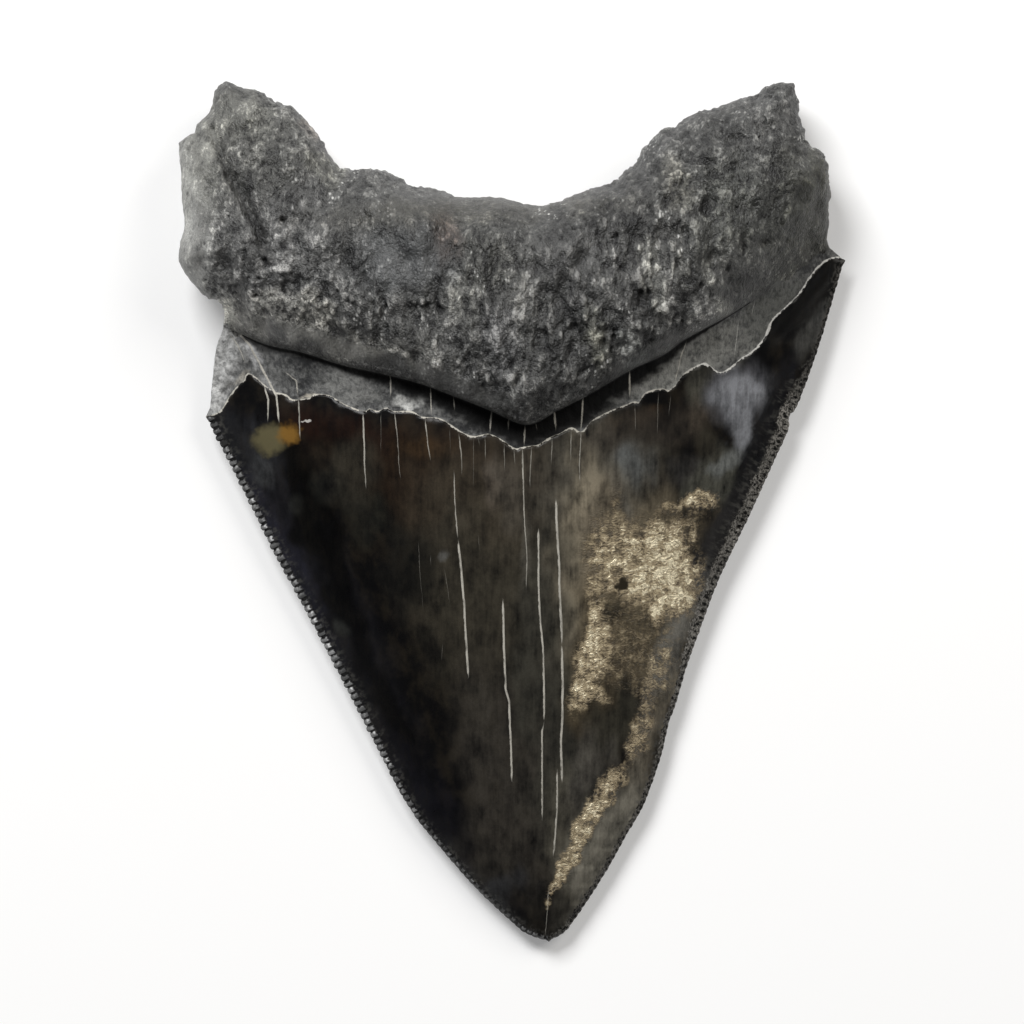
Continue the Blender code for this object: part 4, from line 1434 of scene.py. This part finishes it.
@dataclass(frozen=True)
class Worn:
    """The bare, matte band between the ledge and the enamel, and the trough above it, darkened by painted
    shade.
    """

    dark: Colour = (0.030, 0.031, 0.032)  # Colour of its dark flecks
    light: Colour = (0.150, 0.150, 0.145)  # Colour of its light flecks
    painted_shade: Colour = (0.0035, 0.0035, 0.0035)  # Painted shade of the trough under the ledge
    # Places of another colour, and one line of painted shade under the ledge.
    stains: tuple[Stain, ...] = patches(
        (220, 368, 15, 54, -8, 0.95, (560, 560, 550)), (256, 362, 5, 40, 33, 0.6, (460, 460, 460)),
        (236, 336, 5, 16, 20, 0.7, (500, 500, 480)), (240, 378, 9, 4, 45, 0.8, (400, 370, 310), 0.6),
        # (270, 347) is painted shade: a dark line under the left end of the ledge.
        (262, 372, 24, 18, -30, 0.6, (160, 160, 155)), (270, 347, 30, 6, -18, 0.8, (20, 20, 20)),
        (316, 399, 14, 2.5, 4, 0.8, (400, 370, 310), 0.6), (350, 388, 34, 14, -15, 0.7, (210, 210, 200)),
        (409, 403, 13, 7, 0, 0.95, (520, 520, 500), 0.6), (690, 360, 70, 22, 25, 0.9, (250, 250, 232)),
        (780, 310, 50, 24, 35, 0.9, (115, 117, 108)), (600, 418, 30, 5, 20, 0.7, (110, 105, 95)),
    )

    def lay(self, ground: Ground) -> None:
        """Lay the stains on the ground."""
        ground.veil("worn_tint", self.stains)

    def shader(self, tree: Tree, mark: Wire, marking: Wire) -> Wire:
        """Make the shader of the band.

        Args:
            tree: Nodes to add to.
            mark: Where the broken enamel's edge and the cracks show.
            marking: Their colour.

        Returns:
            The shader.
        """
        fine = tree.noise((0.42, 0.60, 0.42), 3.0, 0.6)
        broad = tree.noise((2.4, 1.3, 2.4), 2.0, 0.6)
        tone = (fine - 0.5) * 2.2 + (broad - 0.5) * 2.0 + 0.36
        colour = tree.mix(tone.ramp(0.0, 1.0), self.dark, self.light)
        tint, share = tree.colours("worn_tint")
        colour = tree.mix(share * ((fine - 0.5) * 2.2 + (broad - 0.5) * 1.2 + 0.8), colour, tint)
        # Painted shade: the trough under the ledge is darkened to near black
        ragged = tree.attribute("trough") + (broad - 0.5) * 0.9
        painted_shade = ragged.ramp(1.35, 0.55)
        colour = tree.mix(painted_shade, colour, self.painted_shade)
        colour = tree.mix(mark, colour, marking)
        height = (fine - 0.5) * 0.22 + mark * 0.02
        return tree.surface(colour, 0.62 + painted_shade * 0.3, height, {"Specular IOR Level": 0.3})


@dataclass(frozen=True)
class Enamel:
    """Glossy, mineral-stained enamel: near black, brown under the margin, bronze at the right under a painted
    reflection.
    """

    black: Colour = (0.0024, 0.0023, 0.0026)  # Its darkest colour
    brown: Colour = (0.0120, 0.0095, 0.0065)  # Its brown clouds
    umber: Colour = (0.115, 0.090, 0.058)  # Brown in which the bronze and its painted sheen lie
    bronze: Colour = (0.375, 0.305, 0.195)  # Colour of the bronze patches, partly mineral colour and partly painted reflection
    painted_glint: Colour = (0.92, 0.82, 0.59)  # Colour of the painted glints on its brightest crests
    dust: Colour = (1.0, 0.95, 0.86)  # Tint of the worn serrations
    # Soft places of another colour; a few are painted shade or a painted reflection, as marked below.
    stains: tuple[Stain, ...] = patches(
        (490, 560, 70, 130, 0, 0.85, (42, 37, 27)), (430, 470, 110, 44, -8, 0.7, (24, 14, 8)),
        (340, 428, 60, 20, -15, 0.8, (14, 6, 4)), (425, 448, 30, 10, 0, 0.5, (45, 26, 12)),
        (620, 428, 40, 10, 22, 0.6, (70, 40, 20)), (470, 500, 60, 50, 0, 0.6, (50, 42, 30)),
        (492, 482, 8, 26, 0, 0.6, (90, 75, 60)), (252, 470, 10, 18, 20, 0.8, (36, 38, 42)),
        (505, 790, 46, 120, 10, 0.8, (40, 35.5, 29)), (312, 580, 34, 190, 28, 0.8, (11, 11, 14)),
        (250, 450, 26, 40, 28, 0.8, (18, 18.5, 21)), (325, 558, 16, 132, 20, 1, (0.3, 0.3, 0.6), 0.9),
        (308, 505, 17, 56, 14, 0.9, (0.3, 0.3, 0.3), 0.9),
        (396, 720, 12, 60, 26, 0.95, (0.4, 0.4, 0.6), 0.9), (286, 555, 12, 90, 28, 0.85, (15, 15, 23)),
        (262, 470, 9, 18, 26, 0.6, (60, 62, 64)), (438, 830, 26, 110, 36, 0.85, (5, 5, 8)),
        (500, 893, 22, 20, 30, 0.85, (28, 28.5, 30)), (325, 486, 16, 14, 0, 0.5, (20, 20, 17)),
        (294, 508, 9, 10, 0, 0.5, (26, 27, 24)), (366, 520, 26, 20, 0, 0.5, (18, 18, 14)),
        (342, 628, 7, 8, 0, 0.5, (40, 42, 38)), (352, 470, 26, 36, 0, 0.6, (36, 34, 26)),
        (414, 560, 26, 40, 0, 0.6, (8, 8, 7)), (504, 486, 20, 30, 0, 0.5, (85, 76, 62)),
        (540, 560, 10, 30, 0, 0.5, (30, 27, 22)), (596, 480, 60, 60, 10, 0.9, (98, 90, 72)),
        (572, 560, 22, 100, 0, 0.95, (235, 202, 146)), (615, 515, 36, 22, 0, 0.85, (150, 126, 98)),
        (628, 478, 22, 26, 0, 0.8, (105, 112, 112)), (662, 480, 6, 26, 0, 0.8, (30, 26, 20)),
        (650, 432, 74, 22, 20, 0.8, (30, 25, 20)), (690, 470, 24, 14, 20, 0.7, (40, 38, 36)),
        (708, 388, 18, 22, 0, 0.85, (85, 82, 66)), (704, 414, 16, 16, 0, 0.8, (62, 50, 38)),
        # (742, 400) here and the stains at (745, 409) and (741, 438) below paint a bluish grey reflection of
        # soft light.
        (714, 484, 26, 24, 20, 0.9, (90, 89, 72)), (742, 400, 24, 34, 0, 0.85, (90, 91, 100)),
        (745, 409, 18, 22, 4, 0.88, (265, 272, 292), 0.9),
        (741, 438, 11, 18, -8, 0.95, (200, 206, 220), 0.8),
        (726, 463, 19, 8, 30, 0.9, (165, 172, 164), 0.8), (776, 400, 9, 60, -24, 0.95, (6, 6, 8), 0.8),
        (708, 444, 11, 14, 15, 0.8, (34, 30, 22)), (810, 331, 15, 26, -20, 0.85, (80, 79, 73)),
        # (809, 299) is painted shade: near black in the hollow fold inside the right margin.
        (822, 300, 10, 26, -20, 0.85, (110, 110, 104)), (809, 299, 14, 62, -42, 1, (6, 6, 6), 0.8),
        (600, 565, 26, 70, 0, 0.9, (165, 138, 96)), (640, 620, 50, 60, -15, 0.9, (105, 86, 56)),
        (655, 535, 56, 40, -15, 0.9, (120, 100, 68)), (596, 660, 24, 60, -8, 0.9, (100, 80, 50)),
        (614, 724, 17, 44, -24, 0.9, (38, 35, 26)), (582, 776, 18, 44, -16, 0.85, (82, 76, 64)),
        (612, 610, 16, 9, 20, 0.85, (30, 26, 18)), (654, 735, 20, 84, -18, 0.9, (140, 122, 92)),
        (549, 690, 26, 160, 0, 0.75, (42, 40, 32)), (560, 830, 16, 60, 0, 0.8, (85, 78, 60)),
        (606, 844, 26, 66, -33, 0.9, (200, 187, 153)), (752, 460, 11, 100, -21, 0.92, (9, 9, 10), 0.8),
        (716, 540, 12, 60, -28, 0.95, (22, 21, 21)), (704, 582, 8, 10, 0, 0.8, (80, 78, 74)),
        (672, 640, 12, 60, -20, 0.85, (170, 164, 145)), (525, 552, 4, 34, -2, 0.7, (85, 78, 64)),
        (444, 554, 4, 5, 0, 0.6, (120, 120, 115)),
    )
    # Crisp spots of another colour.
    spots: tuple[Stain, ...] = patches(
        (270, 440, 17, 13, 12, 0.9, (115, 100, 52), 0.8), (290, 434, 11, 9, 0, 0.9, (200, 105, 22)),
        (306, 422, 5, 1.5, 0, 0.8, (500, 480, 450), 0.6),
    )
    # Where the bronze lies with its painted sheen: partly mineral colour, partly a reflection of the side
    # soft box painted into the colour.
    bronze_and_painted_sheen: tuple[Stain, ...] = patches(
        (650, 562, 56, 46, -15, 0.92), (682, 556, 22, 38, -12), (664, 600, 18, 36, -15, 0.95),
        (620, 552, 44, 48, 0, 0.72), (598, 565, 14, 56, 0, 0.6), (702, 500, 18, 12, 20, 0.85),
        (676, 506, 26, 9, 15, 0.55), (600, 650, 20, 40, -10, 0.82), (590, 684, 17, 28, -5, 0.86),
        (655, 680, 13, 50, -18, 0.55), (640, 735, 13, 28, -15, 0.64), (607, 788, 11, 32, -36, 0.7),
        (584, 828, 10, 38, -33, 0.85), (563, 872, 7, 34, -28, 0.88), (552, 896, 5, 16, -15, 0.7),
        (636, 640, 44, 60, 0, 0.38), (690, 530, 22, 26, 0, 0.5),
    )
    pit: Stain = Stain(622, 584, 6, 5, 20, 1, (22, 18, 12), 0.7)  # A small dark pit in the sheen

    def lay(self, ground: Ground) -> None:
        """Lay the stains and the bronze with its painted sheen on the ground."""
        ground.veil("enamel_tint", self.stains)
        Tooth.attribute(ground.mesh, "bronze_and_painted_sheen", ground.zone(self.bronze_and_painted_sheen))

    def shader(self, tree: Tree, mark: Wire, marking: Wire) -> Wire:
        """Make the shader of the enamel.

        Args:
            tree: Nodes to add to.
            mark: Where the broken enamel's edge and the cracks show.
            marking: Their colour.

        Returns:
            The shader.
        """
        cloud = tree.noise((2.6, 3.6, 2.6), 3.0, 0.6)
        streak = tree.noise((0.42, 6.0, 0.8), 2.0, 0.6)
        blotch = tree.noise((1.4, 2.4, 1.4), 3.0, 0.6)
        speck = tree.noise((0.24, 0.30, 0.24), 2.0, 0.7)
        crinkle = tree.noise((0.62, 0.46, 0.5), 2.0, 0.6, distortion=1.4)
        lump = tree.noise((1.4, 1.0, 1.2), 2.0, 0.6)
        lingual = tree.attribute("lingual")
        colour = tree.mix((cloud + (blotch - 0.5) * 0.5).ramp(0.38, 0.72), self.black, self.brown)
        tint, share = tree.colours("enamel_tint")
        uneven = 0.3 + cloud * 0.9 + (streak - 0.5) * 0.9 + (blotch - 0.5) * 1.7 + (speck - 0.5) * 0.2
        colour = tree.mix((share * uneven).least(1.0), colour, tint)
        colour = tree.mix(1.0, colour, tree.grey(0.84 + speck * 0.32), "MULTIPLY")
        wild = tree.noise((1.3, 1.3, 1.3), 2.0, 0.6, "Color")
        wild = tree.vector("SCALE", {0: tree.vector("SUBTRACT", {0: wild, 1: (0.5, 0.5, 0.5)}), 3: 1.6})
        blurred = tree.vector("ADD", {0: tree.place, 1: wild})
        for spot in self.spots:
            colour = tree.mix(spot.mask(tree, blurred) * lingual, colour, spot.tint)
        hole = self.pit.mask(tree, blurred)
        colour = tree.mix(hole, colour, self.pit.tint)
        # Painted reflection: where the side soft box would reflect, the bronze patches get painted glints on
        # their crests.
        bronze_and_painted_sheen = tree.attribute("bronze_and_painted_sheen") * (1.0 - hole)
        level = bronze_and_painted_sheen * 1.15 + (crinkle - 0.5) * 1.8 + (lump - 0.5) * 2.1 + (streak - 0.5) * 0.6 - 0.33
        shown = bronze_and_painted_sheen.ramp(0.05, 0.80)
        painted_glint_and_metal = level.ramp(0.62, 1.1) * shown
        colour = tree.mix(level.ramp(-0.2, 0.25) * shown * 0.9, colour, self.umber)
        colour = tree.mix(level.ramp(0.05, 0.7) * shown, colour, self.bronze)
        colour = tree.mix(painted_glint_and_metal, colour, self.painted_glint)
        colour, beads = self.serrated(tree, colour, speck)
        colour = tree.mix(mark, colour, marking)
        roughness = 0.33 + (cloud - 0.5) * 0.3 + mark * 0.3
        height = (crinkle - 0.5) * (0.012 + shown * 0.30) + mark * 0.015 + beads * 0.07
        return tree.surface(colour, roughness, height, {"Specular IOR Level": 0.16}, painted_glint_and_metal * 0.5)

    def serrated(self, tree: Tree, colour: Wire, speck: Wire) -> tuple[Wire, Wire]:
        """Beads, dark notches and faint striae along the cutting edges; the paler left beads carry a painted
        highlight.

        Args:
            tree: Nodes to add to.
            colour: The enamel's colour.
            speck: The noise of its fine specks.

        Returns:
            The colour with the serrations, and how far they stand out.
        """
        inward, count, serrated, dotted = (
            tree.attribute(name) for name in ("inward", "count", "serrated", "dotted")
        )
        across = tree.node("ShaderNodeCombineXYZ", {}, {0: count * 1.3, 1: inward * 0.9})
        drawn = {"Vector": across, "Detail": 2.0, "Roughness": 0.6, "Scale": 1.0}
        stria = tree.node("ShaderNodeTexNoise", {"noise_dimensions": "2D"}, drawn)
        count = count + (stria - 0.5) * 0.5
        through = count.apply("FRACT")
        wave = 1.0 - abs(through * 2.0 - 1.0)
        own, between = (
            tree.node("ShaderNodeTexWhiteNoise", {"noise_dimensions": "1D"}, {"W": number.apply("FLOOR")})
            for number in (count, count + 0.5)
        )
        faint = inward.ramp(3.0, 0.8) * stria.ramp(0.45, 0.75) * serrated * 0.7
        colour = tree.mix(faint, colour, (0.075, 0.073, 0.066))
        rim = (inward + (stria - 0.5) * 0.9 + (own - 0.5) * 0.3).ramp(1.1, 0.85) * serrated
        # Painted highlight near the inner end of each left bead.
        painted_highlight = inward.ramp(0.3, 0.6) * inward.ramp(1.0, 0.8) * stria.ramp(0.45, 0.65)
        mottle = (speck.ramp(0.36, 0.66) - 0.45) * dotted
        notch = tree.attribute("notch_tone") * (0.3 + between * 0.5 + stria * 0.6 + mottle * 1.5)
        bead = tree.attribute("bead_tone") * (0.2 + own * 0.7 + stria * 0.6 + painted_highlight * own * 3.4)
        spread = dotted * (abs(inward + (own - 0.5) * 0.2 - 0.34) * 1.7 + 0.16)
        inside = wave - spread + (stria - 0.5) * 0.5
        tone = notch + (bead - notch) * inside.ramp(0.25, 0.6)
        dusty = tree.mix(dotted, tree.grey(tone), tree.mix(1.0, tree.grey(tone), self.dust, "MULTIPLY"))
        return tree.mix(rim, colour, dusty), wave * rim * (1.0 - dotted * 0.6)


@dataclass(frozen=True)
class Fossil:
    """The finish of the whole tooth: bone, worn band and enamel meet in one material."""

    bone: Bone = Bone()  # The root's finish
    worn: Worn = Worn()  # The neck's finish
    enamel: Enamel = Enamel()  # The crown's finish
    marking: Colour = (0.44, 0.42, 0.37)  # Colour of the broken enamel's edge and of the cracks
    bright: Colour = (0.56, 0.55, 0.52)  # Their colour at the right, where they are cleanest

    def dress(self, piece: bpy.types.Object) -> None:
        """Give the finish to the piece.

        Args:
            piece: The tooth.
        """
        ground = Ground.of(piece.data)
        for finish in (self.bone, self.worn, self.enamel):
            finish.lay(ground)
        tree = Tree("fossil")
        chipped = tree.noise((0.9, 0.9, 0.9), 3.0, 0.7)
        gap = tree.attribute("enamel_gap") + (chipped - 0.5) * 0.3
        bold = tree.attribute("bold")
        width = (0.03 + chipped.ramp(0.40, 0.70) * 0.13) * (1.0 + bold * 0.45)
        whole = (0.25 + bold * 0.35 + chipped.ramp(0.35, 0.6) * 0.75).least(1.0)
        mark = ((1.0 - (abs(gap) / width).ramp(0.5, 1.1)) * whole).most(self.cracks(tree))
        marking = tree.mix(bold, self.marking, self.bright)
        enamel = self.enamel.shader(tree, mark, marking)
        worn = self.worn.shader(tree, mark, marking)
        bone = self.bone.shader(tree)
        below = tree.node("ShaderNodeMixShader", {}, {0: gap.ramp(-0.02, 0.04), 1: enamel, 2: worn})
        in_bone = tree.attribute("bone_gap").ramp(-0.06, 0.06)
        tree.finish(tree.node("ShaderNodeMixShader", {}, {0: in_bone, 1: below, 2: bone}))
        piece.data.materials.append(tree.material)

    @staticmethod
    def cracks(tree: Tree) -> Wire:
        """Where the pale fillings of the cracks show.

        Args:
            tree: Nodes to add to.

        Returns:
            0 off the cracks to 1 on the strongest.
        """
        patchy = tree.noise((0.45, 1.6, 0.45), 3.0, 0.7)
        wander = (patchy - 0.5) * 0.22
        whole = None
        for index in range(len(crack_channels(LINGUAL_CRACKS))):
            mark = tree.attribute(f"crack_mark_{index}")
            width = mark * (mark * 0.07 + 0.055) + patchy * 0.035
            off = abs(tree.attribute(f"crack_gap_{index}") + wander) / width
            shown = (1.0 - off.ramp(0.5, 1.1)) * mark.ramp(0.03, 0.9) * (patchy.ramp(0.25, 0.6) * 0.6 + 0.4)
            whole = shown if whole is None else whole.most(shown)
        return whole.least(1.0)


@dataclass(frozen=True)
class Lamp:
    """A soft box."""

    name: str  # Its name
    azimuth: float  # Where it stands, in degrees against the clock from +X
    elevation: float  # Its height above the floor, in degrees
    size: float  # Side of its square face in metres
    power: float  # Its power in watts
    colour: Colour = (1.0, 1.0, 1.0)  # The colour of its light

    def place(self, distance: float = 1.0) -> None:
        """Stand the lamp at its place, facing the tooth.

        Args:
            distance: How far it stands from the tooth, in metres.
        """
        turn, lift = math.radians(self.azimuth), math.radians(self.elevation)
        spot = Vector((math.cos(turn) * math.cos(lift), math.sin(turn) * math.cos(lift), math.sin(lift)))
        light = bpy.data.lights.new(self.name, "AREA")
        light.shape = "SQUARE"
        light.size = self.size
        light.energy = self.power
        light.color = self.colour
        lamp = bpy.data.objects.new(self.name, light)
        lamp.location = spot * distance
        lamp.rotation_euler = spot.to_track_quat("Z", "Y").to_euler()
        bpy.context.scene.collection.objects.link(lamp)


@dataclass(frozen=True)
class Studio:
    """A pale floor, soft boxes and a camera straight above."""

    # The soft boxes.
    lamps: tuple[Lamp, ...] = (
        Lamp("key_softbox", 118.0, 44.0, 0.42, 11.5),
        Lamp("side_softbox", 40.0, 42.0, 0.5, 4.2, (1.0, 0.97, 0.92)),
    )
    surround: float = 0.10  # Brightness of the rest of the room
    floor_colour: Colour = (0.70, 0.70, 0.70)  # Colour of the floor
    floor_glow: float = 0.24  # Light that the floor, a light table, gives off by itself
    floor_size: float = 4.0  # Side of the floor in metres
    camera_height: float = 1.4  # Height of the camera above the floor in metres
    silhouette_height: float = 0.0035  # Height in metres of most of the outline that the camera sees

    def build(self) -> None:
        """Set up the floor, the lamps, the surroundings and the camera."""
        self.floor()
        for lamp in self.lamps:
            lamp.place()
        world = bpy.data.worlds.new("room")
        bpy.context.scene.world = world
        world.use_nodes = True
        backdrop = world.node_tree.nodes["Background"]
        backdrop.inputs["Color"].default_value = (1.0, 1.0, 1.0, 1.0)
        backdrop.inputs["Strength"].default_value = self.surround
        self.camera()

    def floor(self) -> None:
        """Lay the pale floor that the tooth lies on."""
        bpy.ops.object.select_all(action="DESELECT")
        bpy.ops.mesh.primitive_plane_add(size=self.floor_size, location=(0.0, 0.0, 0.0))
        floor = bpy.context.active_object
        floor.name = "floor"
        tree = Tree("pale_floor")
        lit = {
            "Specular IOR Level": 0.2,
            "Emission Color": (1.0, 1.0, 1.0, 1.0),
            "Emission Strength": self.floor_glow,
        }
        tree.finish(tree.surface(self.floor_colour, 0.85, uniform=lit))
        floor.data.materials.append(tree.material)

    def camera(self) -> None:
        """Hang the camera straight above the tooth, framed so that its points are known."""
        data = bpy.data.cameras.new("camera")
        width = VIEW_POINTS / VIEW_POINTS_PER_MM * MM
        data.sensor_width = 36.0
        data.lens = data.sensor_width * (self.camera_height - self.silhouette_height) / width
        data.clip_end = 20.0
        camera = bpy.data.objects.new("camera", data)
        camera.location = (0.0, 0.0, self.camera_height)
        bpy.context.scene.collection.objects.link(camera)
        bpy.context.scene.camera = camera
        bpy.context.scene.view_settings.view_transform = "Standard"
        bpy.context.scene.view_settings.look = "None"


def main() -> None:
    """Build the tooth and the studio around it, and report each."""
    logging.basicConfig(level=logging.INFO, format="%(name)s: %(message)s")
    piece = Tooth().build()
    Fossil().dress(piece)
    LOG.info("%s: %d triangles", piece.name, len(piece.data.polygons))
    studio = Studio()
    studio.build()
    LOG.info("studio: %d soft boxes, camera at %.2f m", len(studio.lamps), studio.camera_height)


if __name__ == "__main__":
    main()
